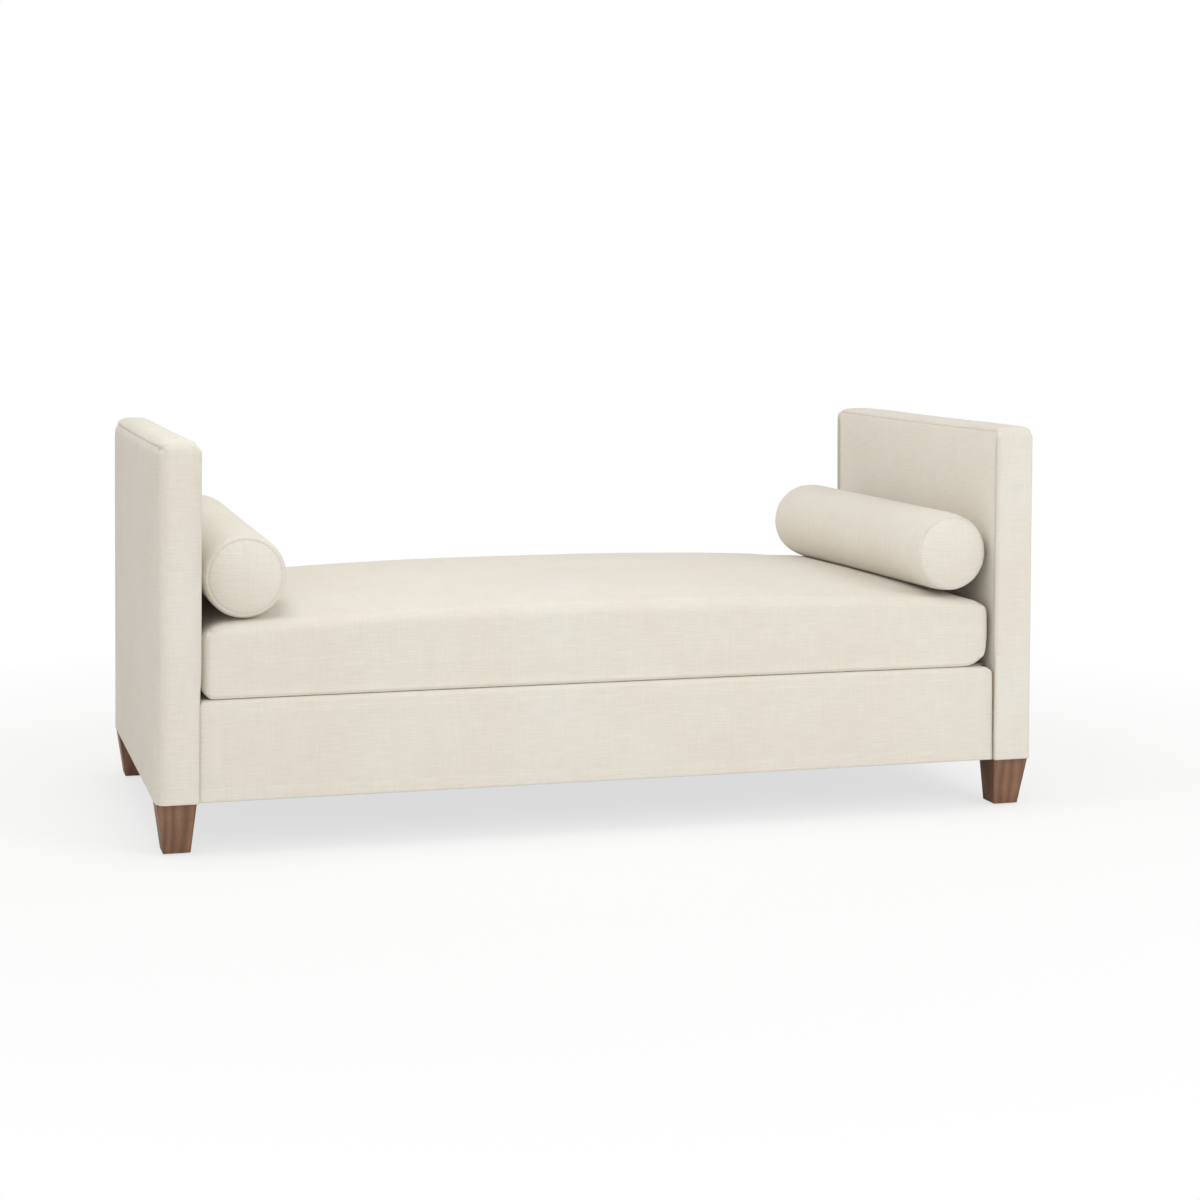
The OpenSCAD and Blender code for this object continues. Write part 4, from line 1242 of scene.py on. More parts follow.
@dataclass
class Zip:
    """A coil zip: its tape, two rows of teeth that meet in the middle, and a slider with its puller."""

    length: float = 956 * MM
    tape_width: float = 8.4 * MM
    tape_thickness: float = 0.6 * MM
    tooth: tuple[float, float, float] = (1.2 * MM, 1.2 * MM, 2.6 * MM)
    tooth_pitch: float = 2.0 * MM
    row_offset: float = 0.7 * MM
    slider: tuple[float, float, float] = (9 * MM, 2.6 * MM, 7 * MM)
    puller: tuple[float, float, float] = (5 * MM, 1.0 * MM, 22 * MM)
    slider_share: float = 0.92
    slider_eased: float = 0.8 * MM
    puller_eased: float = 0.4 * MM

    def build(self, shop: Shop, along: np.ndarray, floor: np.ndarray, height: float) -> None:
        """Builds the zip along the floor of its slot.

        Args:
            shop: The materials.
            along: Places along the width where the floor is known, in order.
            floor: The depth of the slot's floor at those places.
            height: The height of the zip's middle.
        """
        half = self.length / 2
        lines = [
            spread(-half, half, (0, 4 * MM), 20 * MM),
            [0, self.tape_thickness / 2, self.tape_thickness],
            [-self.tape_width / 2, 0, self.tape_width / 2],
        ]
        tape = grid_block("zip_tape", lines)
        lay_cloth_uv(tape, points_of(tape), sides_hang=True)
        pieces = (
            (tape, "zip", "zip_tape", ("seat_cushion_zip",)),
            (self._teeth(), "zip", "coil", ()),
            (self._slider(), "zinc_steel", "zinc", ()),
        )
        for piece, slot, stuff, nodes in pieces:
            points = points_of(piece)
            points[:, 1] += np.interp(points[:, 0], along, floor)
            points[:, 2] += height
            place_points(piece, points)
            dress(piece, "seat_cushion", slot, shop[stuff], *nodes)

    def _teeth(self) -> bpy.types.Object:
        """Makes the two rows of teeth, one half a pitch ahead of the other.

        Returns:
            The teeth as one piece.
        """
        count = int(self.length / self.tooth_pitch / 2)
        out = self.tape_thickness + self.tooth[1] / 2
        rows = []
        for row in (-1, 1):
            start = -self.length / 2 + self.tooth_pitch * (1 + row / 2)
            tooth = eased_block("zip_teeth", self.tooth, (start, out, row * self.row_offset), self.tooth[1] / 4)
            finish_with(
                tooth, "ARRAY", count=count, use_relative_offset=False, use_constant_offset=True,
                constant_offset_displace=(2 * self.tooth_pitch, 0, 0),
            )
            rows.append(tooth)
        return join_pieces(rows)

    def _slider(self) -> bpy.types.Object:
        """Makes the slider and the puller that hangs from it.

        Returns:
            The slider and puller as one piece.
        """
        x = self.slider_share * self.length / 2
        out = self.tape_thickness + self.tooth[1] + self.slider[1] / 2
        body = eased_block("zip_slider", self.slider, (x, out, 0), self.slider_eased)
        lies = out + (self.slider[1] + self.puller[1]) / 2
        drop = -self.puller[2] / 2 + self.slider[2] / 3
        puller = eased_block("zip_puller", self.puller, (x, lies, drop), self.puller_eased)
        join_pieces([body, puller])
        smooth(body, SHARP_DEGREES)
        return body


@dataclass
class Cushion:
    """The loose seat cushion: cloth that hangs over its front and back from a crowned top, with a seam
    along its bottom edge and a zip in its rear face."""

    top_radius: float = 26 * MM
    bottom_radius: float = 7 * MM
    end_top_radius: float = 40 * MM
    left_bottom_radius: float = 24 * MM
    right_bottom_radius: float = 58 * MM
    corner_radius: float = 20 * MM
    corner_calm: float = 70 * MM
    end_height: float = 141 * MM
    crown_along: float = 24 * MM
    crown_across: float = 20 * MM
    along_power: float = 2.6
    across_power: float = 2.4
    end_power: float = 0.6
    crown_starts: float = 90 * MM
    draw_end: float = 5 * MM
    draw_side: float = 4 * MM
    draw_power: int = 5
    bulge: float = 2 * MM
    slack: float = 3 * MM
    side_room: float = 1.5 * MM
    wall_power: float = 0.7
    seam_height: float = 4.5 * MM
    seam_hold: float = 1 * MM
    seam: Seam = Seam(1.8 * MM, 1.6 * MM)
    puckers: Puckers = Puckers(1 * MM, 14 * MM, (9 * MM, 6.1 * MM, 14.3 * MM), (1, 0.8, 0.6))
    zip_length: float = 960 * MM
    zip_room: float = 4.6 * MM
    zip_depth: float = 3 * MM
    zip_end: float = 0.5 * MM
    zip_rows: tuple[float, ...] = (0, 0.8 * MM, 1.9 * MM, 4.4 * MM)
    unevenness: Unevenness = Unevenness(0.8 * MM, 350 * MM, seed=31, sink=0.4)
    uneven_from: float = 30 * MM
    near_edge: tuple[float, ...] = (
        0, 2.5 * MM, 5.5 * MM, 9 * MM, 13 * MM, 17.5 * MM, 22 * MM, 28 * MM, 34 * MM, 40 * MM, 47 * MM
    )
    low_rows: tuple[float, ...] = (
        0, 1.5 * MM, 3 * MM, 4.5 * MM, 6 * MM, 8.5 * MM, 12 * MM, 17 * MM, 23 * MM, 30 * MM, 38 * MM, 46 * MM
    )
    high_rows: tuple[float, ...] = (
        0, 3 * MM, 6.5 * MM, 10.5 * MM, 15 * MM, 20 * MM, 26 * MM, 32 * MM, 38 * MM, 48 * MM
    )
    step: float = 15 * MM
    filling: Filling = Filling(most=5 * MM)

    def __post_init__(self) -> None:
        """Takes the cushion's place from the part."""
        low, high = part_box("seat_cushion_cover")
        self.low_z = low.z
        self.half_w = (high.x - low.x) / 2 - self.bulge
        self.half_d = (high.y - low.y) / 2 - self.bulge
        self.height = self.end_height + self.crown_along
        self.zip_middle = self.end_height / 2

    def crown(self, x: np.ndarray, y: np.ndarray) -> np.ndarray:
        """Works out the height of the cushion's top.

        Args:
            x: Places along the width.
            y: Places along the depth.

        Returns:
            The height over the cushion's bottom at each place.
        """
        along = 1 - np.minimum(1, np.abs(x) / self.half_w) ** self.along_power
        across = 1 - np.minimum(1, np.abs(y) / self.half_d) ** self.across_power
        return self.end_height + self.crown_along * along + self.crown_across * along**self.end_power * across

    def build(self, shop: Shop, bolsters: Sequence["Bolster"]) -> bpy.types.Object:
        """Builds the cushion and its zip.

        Args:
            shop: The materials.
            bolsters: The bolsters that rest on it.

        Returns:
            The finished cushion.
        """
        zip_rows = [self.zip_middle + face * (self.zip_room + d) for face in (-1, 1) for d in self.zip_rows]
        zip_ends = [face * self.zip_length / 2 + d for face in (-1, 1) for d in (-self.zip_end, self.zip_end)]
        top_row = self.height - self.high_rows[-1]
        middle = spread(self.low_rows[-1], top_row, (0,), self.step, zip_rows)
        lines = [
            spread(-self.half_w, self.half_w, self.near_edge, self.step, zip_ends),
            spread(-self.half_d, self.half_d, self.near_edge, self.step),
            sorted(set(self.low_rows) | set(middle) | {self.height - d for d in self.high_rows}),
        ]
        piece = grid_block("seat_cushion", lines)
        block = points_of(piece)
        lay_cloth_uv(piece, block, sides_hang=True)
        place_points(piece, self._formed(block))
        from_corner = np.hypot(self.half_w - np.abs(block[:, 0]), self.half_d - np.abs(block[:, 1]))
        free = 1 - np.exp(-np.square(from_corner / self.corner_calm))
        swell(piece, block[:, 2] < self.seam_height + self.seam_hold, free, self.filling)
        self._sew(piece, block)
        self._seat(piece, bolsters)
        self._add_zip(piece, block, shop)
        upholster(piece, "seat_cushion", shop["linen"], 0.8, "seat_cushion_cover", "seat_cushion_core")
        return piece

    def _formed(self, block: np.ndarray) -> np.ndarray:
        """Turns the block into the crowned cushion.

        Args:
            block: The block's points.

        Returns:
            The formed points.
        """
        points = block.copy()
        for face in (-1, 1):
            y = face * self.half_d
            round_corner(points, (Axis.Y, Axis.Z), (y, self.height), (-face, -1), self.top_radius)
            round_corner(points, (Axis.Y, Axis.Z), (y, 0), (-face, 1), self.bottom_radius)
        for end, bottom_radius in ((-1, self.left_bottom_radius), (1, self.right_bottom_radius)):
            x = end * self.half_w
            round_corner(points, (Axis.X, Axis.Z), (x, self.height), (-end, -1), self.end_top_radius)
            round_corner(points, (Axis.X, Axis.Z), (x, 0), (-end, 1), bottom_radius)
            for face in (-1, 1):
                corner = (x, face * self.half_d)
                round_corner(points, (Axis.X, Axis.Y), corner, (-end, -face), self.corner_radius)
        wide = points[:, 0] / self.half_w
        deep = points[:, 1] / self.half_d
        on_wall = np.sin(math.pi * np.clip(block[:, 2] / self.height, 0, 1)) ** self.wall_power
        full = self.bulge * on_wall - self.slack * (1 - np.minimum(np.abs(wide * deep), 1) ** 3)
        points[:, 0] += (full - self.draw_end * (1 - deep**2)) * wide**self.draw_power
        points[:, 1] += (full - self.draw_side * (1 - wide**2)) * deep**self.draw_power
        share = (points[:, 2] - self.crown_starts) / (self.height - self.crown_starts)
        top = self.crown(points[:, 0], points[:, 1]) - self.slack
        raised = self.crown_starts + share * (top - self.crown_starts)
        points[:, 2] = self.low_z + np.where(share > 0, raised, points[:, 2])
        return points

    def _sew(self, piece: bpy.types.Object, block: np.ndarray) -> None:
        """Draws in the seam along the bottom edge, with painted shade along it, and sinks the zip's slot into the rear
        face.

        Args:
            piece: The formed cushion.
            block: The block's points.
        """
        wall = np.isclose(np.abs(block[:, 0]), self.half_w) | np.isclose(np.abs(block[:, 1]), self.half_d)
        across = np.where(wall, block[:, 2] - self.seam_height, FAR)
        amount = self.seam.pull(across) + self.puckers.pull(across, block[:, 0] + block[:, 1])
        amount += self.unevenness.pull(block) * np.clip((block[:, 2] - self.seam_height) / self.uneven_from, 0, 1)
        slot = np.isclose(block[:, 1], self.half_d) & (np.abs(block[:, 0]) < self.zip_length / 2)
        slot &= np.abs(block[:, 2] - self.zip_middle) < self.zip_room + CLOSE
        amount = np.where(slot, -self.zip_depth, amount)
        push(piece, amount)
        # Paints shade along the bottom seam, in place of the shadow in its groove.
        paint_seam_shade(piece, across, self.seam.width, self.seam.mark)

    def _seat(self, piece: bpy.types.Object, bolsters: Sequence["Bolster"]) -> None:
        """Keeps the cushion off the arms and the deck, and presses its top down where the bolsters lie.

        Args:
            piece: The cushion.
            bolsters: The bolsters on it.
        """
        points = points_of(piece)
        side = self.half_w + self.bulge + self.side_room
        points[:, 0] = np.clip(points[:, 0], -side, side)
        points[:, 2] = np.maximum(points[:, 2], self.low_z)
        for bolster in bolsters:
            points[:, 2] = np.minimum(points[:, 2], bolster.underside(points))
        place_points(piece, points)

    def _add_zip(self, piece: bpy.types.Object, block: np.ndarray, shop: Shop) -> None:
        """Sets the zip on the floor of its slot.

        Args:
            piece: The cushion before its last subdivision.
            block: The block's points.
            shop: The materials.
        """
        floor = np.isclose(block[:, 1], self.half_d) & (np.abs(block[:, 0]) < self.zip_length / 2)
        floor &= np.isclose(block[:, 2], self.zip_middle + self.zip_room)
        spots = points_of(piece)[floor]
        spots = spots[np.argsort(spots[:, 0])]
        Zip().build(shop, spots[:, 0], spots[:, 1], spots[:, 2].mean() - self.zip_room)


@dataclass
class Bolster:
    """A round bolster with domed ends, sewn in just inside its rim."""

    side: Side
    radius: float = 81.5 * MM
    length: float = 768 * MM
    edge_radius: float = 13 * MM
    dome: float = 14 * MM
    turn: float = 0.0
    tilt: float = 0.0
    shift: tuple[float, float, float] = (0.0, 0.0, 0.0)
    front_fullness: float = 2 * MM
    rear_fullness: float = 2.5 * MM
    seam_inset: float = 9 * MM
    taper: float = 0.5 * MM
    taper_reach: float = 28 * MM
    seam: Seam = Seam(1.4 * MM, 1.8 * MM, 0.9)
    puckers: Puckers = Puckers(1.1 * MM, 14 * MM, (1 / 23, 1 / 37, 1 / 11), (1, 0.7, 0.5), (1.3, 2.1, 0))
    unevenness: Unevenness = Unevenness(0.6 * MM, 300 * MM, seed=41, sink=0.6)
    clearance: float = 0.3 * MM
    seam_hold: float = 0.3 * MM
    sides: int = 96
    slack: float = 1 * MM
    near_ends: tuple[float, ...] = (0, 2.5 * MM, 5.5 * MM, 8.5 * MM, 11 * MM, 13 * MM, 16 * MM, 21 * MM, 29 * MM)
    rings: tuple[float, ...] = (2.5, 3.0, 3.0, 2.7, 1.8, 1.5, 2.0, 3.5, 6, 8, 10, 11, 12)
    step: float = 15 * MM
    filling: Filling = Filling(most=3 * MM)

    def __post_init__(self) -> None:
        """Takes the bolster's place from the part."""
        low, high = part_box(f"{self.side.name.lower()}_bolster_cover")
        self.middle = (low + high) / 2 + Vector(self.shift)
        turn = Matrix.Rotation(math.radians(self.turn), 4, "Z")
        tilt = Matrix.Rotation(math.radians(self.tilt), 4, "X")
        self.lie = Matrix.Translation(self.middle) @ turn @ tilt

    def radius_at(self, along: np.ndarray) -> np.ndarray:
        """Works out the bolster's full radius, which differs a little from one end to the other.

        Args:
            along: Places along the bolster, from its middle to the rear.

        Returns:
            The radius at each place.
        """
        share = np.clip(0.5 + along / self.length, 0, 1)
        return self.radius + blend(self.front_fullness, self.rear_fullness, share)

    def underside(self, points: np.ndarray) -> np.ndarray:
        """Works out the height of the bolster's lower side over given places.

        Args:
            points: Points on the cushion.

        Returns:
            The height at which the cushion just clears the bolster, or a great height away from it.
        """
        way = np.array((self.lie.to_3x3() @ Vector((0, 1, 0)))[:])
        start = np.array(self.middle[:])
        flat = way[:2] / np.linalg.norm(way[:2])
        from_middle = points[:, :2] - start[:2]
        along = from_middle @ flat
        aside = from_middle @ np.array([flat[1], -flat[0]])
        half = self.length / 2 + self.dome
        full = self.radius_at(along)
        under = (np.abs(aside) < full) & (np.abs(along) < half)
        end_share = np.clip((half - np.abs(along)) / (2 * self.edge_radius), 0, 1)
        radius = full - self.edge_radius * (1 - end_share) ** 2
        room = np.sqrt(np.maximum(radius**2 - aside**2, 0))
        height = start[2] + along * way[2] / np.linalg.norm(way[:2]) - room - self.clearance
        return np.where(under & (points[:, 2] < start[2]), height, FAR)

    def build(self, shop: Shop) -> bpy.types.Object:
        """Builds the bolster.

        Args:
            shop: The materials.

        Returns:
            The finished piece.
        """
        name = f"{self.side.name.lower()}_bolster"
        piece = self._roll(name)
        block = points_of(piece)
        self._lay_cloth(piece, block)
        place_points(piece, self._formed(block))
        radial = np.hypot(block[:, 0], block[:, 2])
        on_end = np.isclose(np.abs(block[:, 1]), self.length / 2)
        held = on_end & np.isclose(radial, self.radius - self.edge_radius, atol=self.seam_hold)
        swell(piece, held, np.ones(len(block)), self.filling)
        self._sew(piece, block)
        self._keep_round(piece)
        piece.matrix_world = self.lie
        settle(piece)
        upholster(piece, name, shop["linen"], 0.9, f"{name}_cover", f"{name}_core", f"{name}_end_caps")
        return piece

    def _roll(self, name: str) -> bpy.types.Object:
        """Makes a drum along Y, with rings on its side and its ends.

        Args:
            name: The object's name.

        Returns:
            The drum.
        """
        clear_selection()
        bpy.ops.mesh.primitive_cylinder_add(
            vertices=self.sides, radius=self.radius, depth=1, end_fill_type="NGON",
            calc_uvs=False, rotation=(math.pi / 2, 0, 0),
        )
        piece = settle(named(name))
        rows = spread(-self.length / 2, self.length / 2, self.near_ends, self.step)
        bpy.ops.object.mode_set(mode="EDIT")
        bpy.ops.mesh.select_mode(type="EDGE")
        bpy.ops.mesh.select_all(action="DESELECT")
        mesh = bmesh.from_edit_mesh(piece.data)
        for edge in mesh.edges:
            run = edge.verts[1].co - edge.verts[0].co
            edge.select_set(abs(run.y) > 0.5)
        bmesh.update_edit_mesh(piece.data)
        bpy.ops.mesh.subdivide(number_cuts=len(rows) - 2)
        bpy.ops.mesh.select_mode(type="FACE")
        for end in (-1, 1):
            bpy.ops.mesh.select_all(action="DESELECT")
            mesh = bmesh.from_edit_mesh(piece.data)
            for face in mesh.faces:
                face.select_set(len(face.verts) > 4 and face.normal.y * end > 0.9)
            bmesh.update_edit_mesh(piece.data)
            for width in self.rings:
                bpy.ops.mesh.inset(thickness=width * MM, depth=0)
            bpy.ops.mesh.poke()
        bpy.ops.object.mode_set(mode="OBJECT")
        points = points_of(piece)
        move_to_lines(points, 1, rows, -0.5)
        place_points(piece, points)
        return piece

    def _lay_cloth(self, piece: bpy.types.Object, block: np.ndarray) -> None:
        """Gives each face its place on the flat cloth: wrapped round the side, and flat on the ends.

        Args:
            piece: The drum.
            block: Its points.
        """
        mesh = piece.data
        layer = mesh.uv_layers.new(name=CLOTH_UV)
        for face in mesh.polygons:
            middle = face.center
            on_side = abs(middle.y) < self.length / 2 - CLOSE
            base = math.atan2(middle.x, middle.z)
            for loop in face.loop_indices:
                x, y, z = block[mesh.loops[loop].vertex_index]
                if on_side:
                    angle = math.atan2(x, z)
                    angle += 2 * math.pi * round((base - angle) / (2 * math.pi))
                    layer.data[loop].uv = (angle * self.radius, y)
                else:
                    layer.data[loop].uv = (x, z)

    def _formed(self, block: np.ndarray) -> np.ndarray:
        """Rolls the drum's edges and domes its ends.

        Args:
            block: The drum's points.

        Returns:
            The formed points.
        """
        radial = np.hypot(block[:, 0], block[:, 2])
        half = self.length / 2
        rim = self.radius - self.edge_radius
        axial = np.abs(block[:, 1])
        out = radial - rim
        over = axial - (half - self.edge_radius)
        edge = (out > 0) & (over > 0)
        share = np.ones(len(block))
        share[edge] = (np.maximum(out, over) / np.hypot(out, over))[edge]
        seam_radius = self.radius - self.seam_inset
        rolled = seam_radius + out * share * self.seam_inset / self.edge_radius
        new_radial = np.where(out > 0, np.where(edge, rolled, self.radius), radial * seam_radius / rim)
        new_axial = np.where(edge, half - self.edge_radius + over * share, axial)
        on_end = np.isclose(axial, half) & (radial < rim)
        new_axial = np.where(on_end, half + self.dome * (1 - (radial / rim) ** 2), new_axial)
        thin = np.exp(-np.square((half - axial) / self.taper_reach))
        fuller = self.radius_at(block[:, 1]) - self.radius
        new_radial = new_radial + (fuller - self.slack - self.taper * thin) * (radial / self.radius)
        factor = new_radial / np.maximum(radial, TINY)
        return np.stack([block[:, 0] * factor, np.sign(block[:, 1]) * new_axial, block[:, 2] * factor], axis=1)

    def _sew(self, piece: bpy.types.Object, block: np.ndarray) -> None:
        """Draws in the ring seams at the ends, with painted shade along them and small puckers beside them.

        Args:
            piece: The formed bolster.
            block: The drum's points.
        """
        radial = np.hypot(block[:, 0], block[:, 2])
        half = self.length / 2
        on_end = np.isclose(np.abs(block[:, 1]), half)
        rim = self.radius - self.edge_radius
        across = np.where(on_end, radial - rim, self.edge_radius + half - np.abs(block[:, 1]))
        amount = self.seam.pull(across) + self.puckers.pull(across, np.arctan2(block[:, 0], block[:, 2]))
        amount += self.unevenness.pull(block, self.side.value)
        push(piece, amount)
        # Paints shade along the ring seams.
        paint_seam_shade(piece, across, self.seam.width, self.seam.mark)

    def _keep_round(self, piece: bpy.types.Object) -> None:
        """Keeps the swollen bolster within its full radius, clear of the arm and the cushion.

        Args:
            piece: The bolster, along Y round the origin.
        """
        points = points_of(piece)
        radial = np.hypot(points[:, 0], points[:, 2])
        points[:, (0, 2)] *= np.minimum(1, self.radius_at(points[:, 1]) / np.maximum(radial, TINY))[:, None]
        place_points(piece, points)


@dataclass
class Leg:
    """A square walnut leg that tapers to its foot, with eased edges."""

    side: Side
    end: End
    foot_w: float = 53 * MM
    foot_d: float = 55 * MM
    side_inset: float = 14.5 * MM
    end_inset: float = 19.5 * MM
    eased: float = 1.2 * MM

    def build(self, shop: Shop) -> bpy.types.Object:
        """Builds the leg.

        Args:
            shop: The materials.

        Returns:
            The finished piece.
        """
        node = f"{self.end.name.lower()}_{self.side.name.lower()}_leg"
        low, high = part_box(node)
        out_x = high.x if self.side is Side.RIGHT else low.x
        out_y = high.y if self.end is End.REAR else low.y
        foot = Vector((
            out_x - self.side.value * (self.side_inset + self.foot_w / 2),
            out_y - self.end.value * (self.end_inset + self.foot_d / 2),
            low.z,
        ))
        top = Vector(((low.x + high.x) / 2, (low.y + high.y) / 2, high.z))
        clear_selection()
        bpy.ops.mesh.primitive_plane_add(size=1, location=foot)
        piece = named(f"{node}_walnut")
        piece.scale = (self.foot_w, self.foot_d, 1)
        settle(piece)
        bpy.ops.object.mode_set(mode="EDIT")
        bpy.ops.mesh.select_all(action="SELECT")
        bpy.ops.mesh.extrude_region_move(TRANSFORM_OT_translate={"value": tuple(top - foot)})
        grow = ((high.x - low.x) / self.foot_w, (high.y - low.y) / self.foot_d, 1)
        bpy.ops.transform.resize(value=grow, center_override=tuple(top))
        bpy.ops.mesh.select_all(action="SELECT")
        bpy.ops.mesh.normals_make_consistent(inside=False)
        bpy.ops.object.mode_set(mode="OBJECT")
        finish_with(piece, "BEVEL", width=self.eased, segments=3, limit_method="ANGLE")
        smooth(piece, SHARP_DEGREES)
        dress(piece, "base", "walnut", shop["walnut"], node)
        return piece


@dataclass
class Deck:
    """The deck under the cushion: a lining with a lip of the cover's linen along the front and the back."""

    lip: float = 110 * MM
    thickness: float = 6 * MM
    seam: Seam = Seam(1 * MM, 1.8 * MM)
    seam_rows: tuple[float, ...] = (-3.5 * MM, -1.5 * MM, 0, 1.5 * MM, 3.5 * MM)
    unevenness: Unevenness = Unevenness(0.5 * MM, 250 * MM, seed=51)
    near: tuple[float, ...] = (0, 3 * MM, 8 * MM, 16 * MM)
    step: float = 30 * MM

    def build(self, shop: Shop) -> bpy.types.Object:
        """Builds the deck's cloth.

        Args:
            shop: The materials.

        Returns:
            The finished piece.
        """
        low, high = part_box("deck_cover")
        seam_y = high.y - self.lip
        seam_lines = [face * (seam_y + d) for face in (-1, 1) for d in self.seam_rows]
        lines = [
            spread(low.x, high.x, self.near, self.step),
            spread(low.y, high.y, self.near, self.step, seam_lines),
            [high.z - self.thickness, high.z - self.thickness / 2, high.z],
        ]
        piece = grid_block("deck_lining", lines)
        block = points_of(piece)
        lay_cloth_uv(piece, block, sides_hang=True)
        points = block.copy()
        on_top = np.isclose(block[:, 2], high.z)
        across = np.abs(block[:, 1]) - seam_y
        rim = np.minimum(high.x - np.abs(block[:, 0]), high.y - np.abs(block[:, 1]))
        calm = np.clip(rim / self.near[-1], 0, 1)
        points[:, 2] += on_top * (self.unevenness.pull(block) * calm + self.seam.pull(across))
        place_points(piece, points)
        # Paints shade along the seams between the lining and the lips.
        paint_seam_shade(piece, across, self.seam.width, self.seam.mark)
        piece.data.materials.append(shop["lining"])
        piece.data.materials.append(shop["linen"])
        for face in piece.data.polygons:
            face.material_index = int(abs(face.center.y) > seam_y)
        smooth(piece, SHARP_DEGREES)
        dress(piece, "base", "lining", shop["lining"], "deck_cover", "deck_padding")
        return piece


@dataclass
class DustCover:
    """The cambric stretched under the seat, its edges folded in and stapled."""

    thickness: float = 0.5 * MM
    sag: float = 5 * MM
    sag_reach: float = 120 * MM
    sag_pitch: float = 300 * MM
    sag_seed: int = 61
    sag_unevenness: float = 0.2
    hem: float = 22 * MM
    hem_fold: float = 3 * MM
    staple_gap: float = 62 * MM
    staple_width: float = 10 * MM
    staple_wire: float = 0.9 * MM
    step: float = 40 * MM
    near: tuple[float, ...] = (0, 3 * MM, 11 * MM, 19 * MM, 22 * MM, 25 * MM)

    def build(self, shop: Shop) -> None:
        """Builds the cambric and its staples.

        Args:
            shop: The materials.
        """
        low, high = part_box("dust_cover")
        columns, rows = spread_over(low, high, (self.near, self.near), self.step)
        piece = self._sheet(columns, rows, (low.z + high.z - self.thickness) / 2)
        block = points_of(piece)
        lay_cloth_uv(piece, block, sides_hang=True)
        points = block.copy()
        rim = np.minimum(high.x - np.abs(block[:, 0]), high.y - np.abs(block[:, 1]))
        inner = np.maximum(rim - self.hem, 0)
        uneven = blend(1, waves(block, self.sag_pitch, self.sag_seed), self.sag_unevenness)
        points[:, 2] -= self.sag * (1 - np.exp(-inner / self.sag_reach)) * uneven
        points[:, 2] -= self.thickness * np.clip((self.hem - rim) / self.hem_fold, 0, 1)
        place_points(piece, points)
        smooth(piece, SHARP_DEGREES)
        dress(piece, "base", "cambric", shop["cambric"], "dust_cover")
        self._staples(low, high, shop)

    def _sheet(self, columns: Sequence[float], rows: Sequence[float], level: float) -> bpy.types.Object:
        """Makes the thin gridded sheet.

        Args:
            columns: The grid lines along X.
            rows: The grid lines along Y.
            level: The height of its lower face.

        Returns:
            The sheet.
        """
        clear_selection()
        bpy.ops.mesh.primitive_grid_add(
            x_subdivisions=len(columns) - 1, y_subdivisions=len(rows) - 1, size=1, calc_uvs=False
        )
        piece = named("dust_cover_cambric")
        points = points_of(piece)
        move_to_lines(points, 0, columns, -0.5)
        move_to_lines(points, 1, rows, -0.5)
        points[:, 2] = level
        place_points(piece, points)
        finish_with(piece, "SOLIDIFY", thickness=self.thickness, offset=1)
        return piece

    def _staples(self, low: Vector, high: Vector, shop: Shop) -> None:
        """Sets staples all round the hem, as one piece.

        Args:
            low: The cambric's lowest corner.
            high: The cambric's highest corner.
            shop: The materials.
        """
        pattern = eased_block(
            "staple_pattern", (self.staple_width, self.staple_wire, self.staple_wire / 2), (0, 0, 0),
            self.staple_wire / 6, segments=1,
        )
        copies = []
        for half, other, turn in ((high.x, high.y, 0), (high.y, high.x, math.pi / 2)):
            reach = half - self.hem
            count = int(2 * reach / self.staple_gap)
            for k in range(count + 1):
                run = -reach + 2 * reach * k / count
                for away in (-1, 1):
                    aside = away * (other - self.hem / 2)
                    x, y = (aside, run) if turn else (run, aside)
                    copy = bpy.data.objects.new("staple", pattern.data.copy())
                    spot = Matrix.Translation((x, y, low.z - self.staple_wire / 4))
                    copy.matrix_world = spot @ Matrix.Rotation(turn, 4, "Z")
                    bpy.context.scene.collection.objects.link(copy)
                    copies.append(copy)
        bpy.data.objects.remove(pattern)
        join_pieces(copies)
        piece = settle(named("dust_cover_staples"))
        smooth(piece, SHARP_DEGREES)
        dress(piece, "base", "zinc_steel", shop["zinc"])


class Hardware:
    """The materials of the frame, springs and fasteners, whose own shapes stay as they are."""

    def __init__(self) -> None:
        """Lists the nodes of each stuff."""
        sides, ends = ("left", "right"), ("front", "rear")
        timbers = ("bottom_rail", "front_post", "rear_post", "middle_rail", "top_rail", "mounting_board")
        self.stuffs = {
            "timber": [
                *(f"{side}_arm_{timber}" for side in sides for timber in timbers),
                *(f"{side}_end_rail" for side in sides),
                *(f"{end}_{rail}" for end in ends for rail in ("seat_rail", "spring_ledger")),
                "frame_dowels", "cross_rails", "corner_blocks",
            ],
            "hardboard": [f"{side}_arm_{face}_panel" for side in sides for face in ("outer", "inner")],
            "felt": ["spring_insulator"],
            "steel": ["sinuous_springs", "spring_clips", "stay_wires"],
            "zinc": ["leg_bolts", "corner_block_screws", "frame_bolts"],
            "brass": ["leg_inserts", "frame_bolt_inserts"],
            "nylon": ["foot_glides"],
        }

    def dress(self, nodes: dict[str, bpy.types.Object], shop: Shop) -> None:
        """Puts each node's material on it.

        Args:
            nodes: The part's nodes.
            shop: The materials.
        """
        for stuff, names in self.stuffs.items():
            for name in names:
                node = nodes[name]
                node.data.materials.clear()
                node.data.materials.append(shop[stuff])
            log.info("%s is on %d nodes", stuff, len(names))


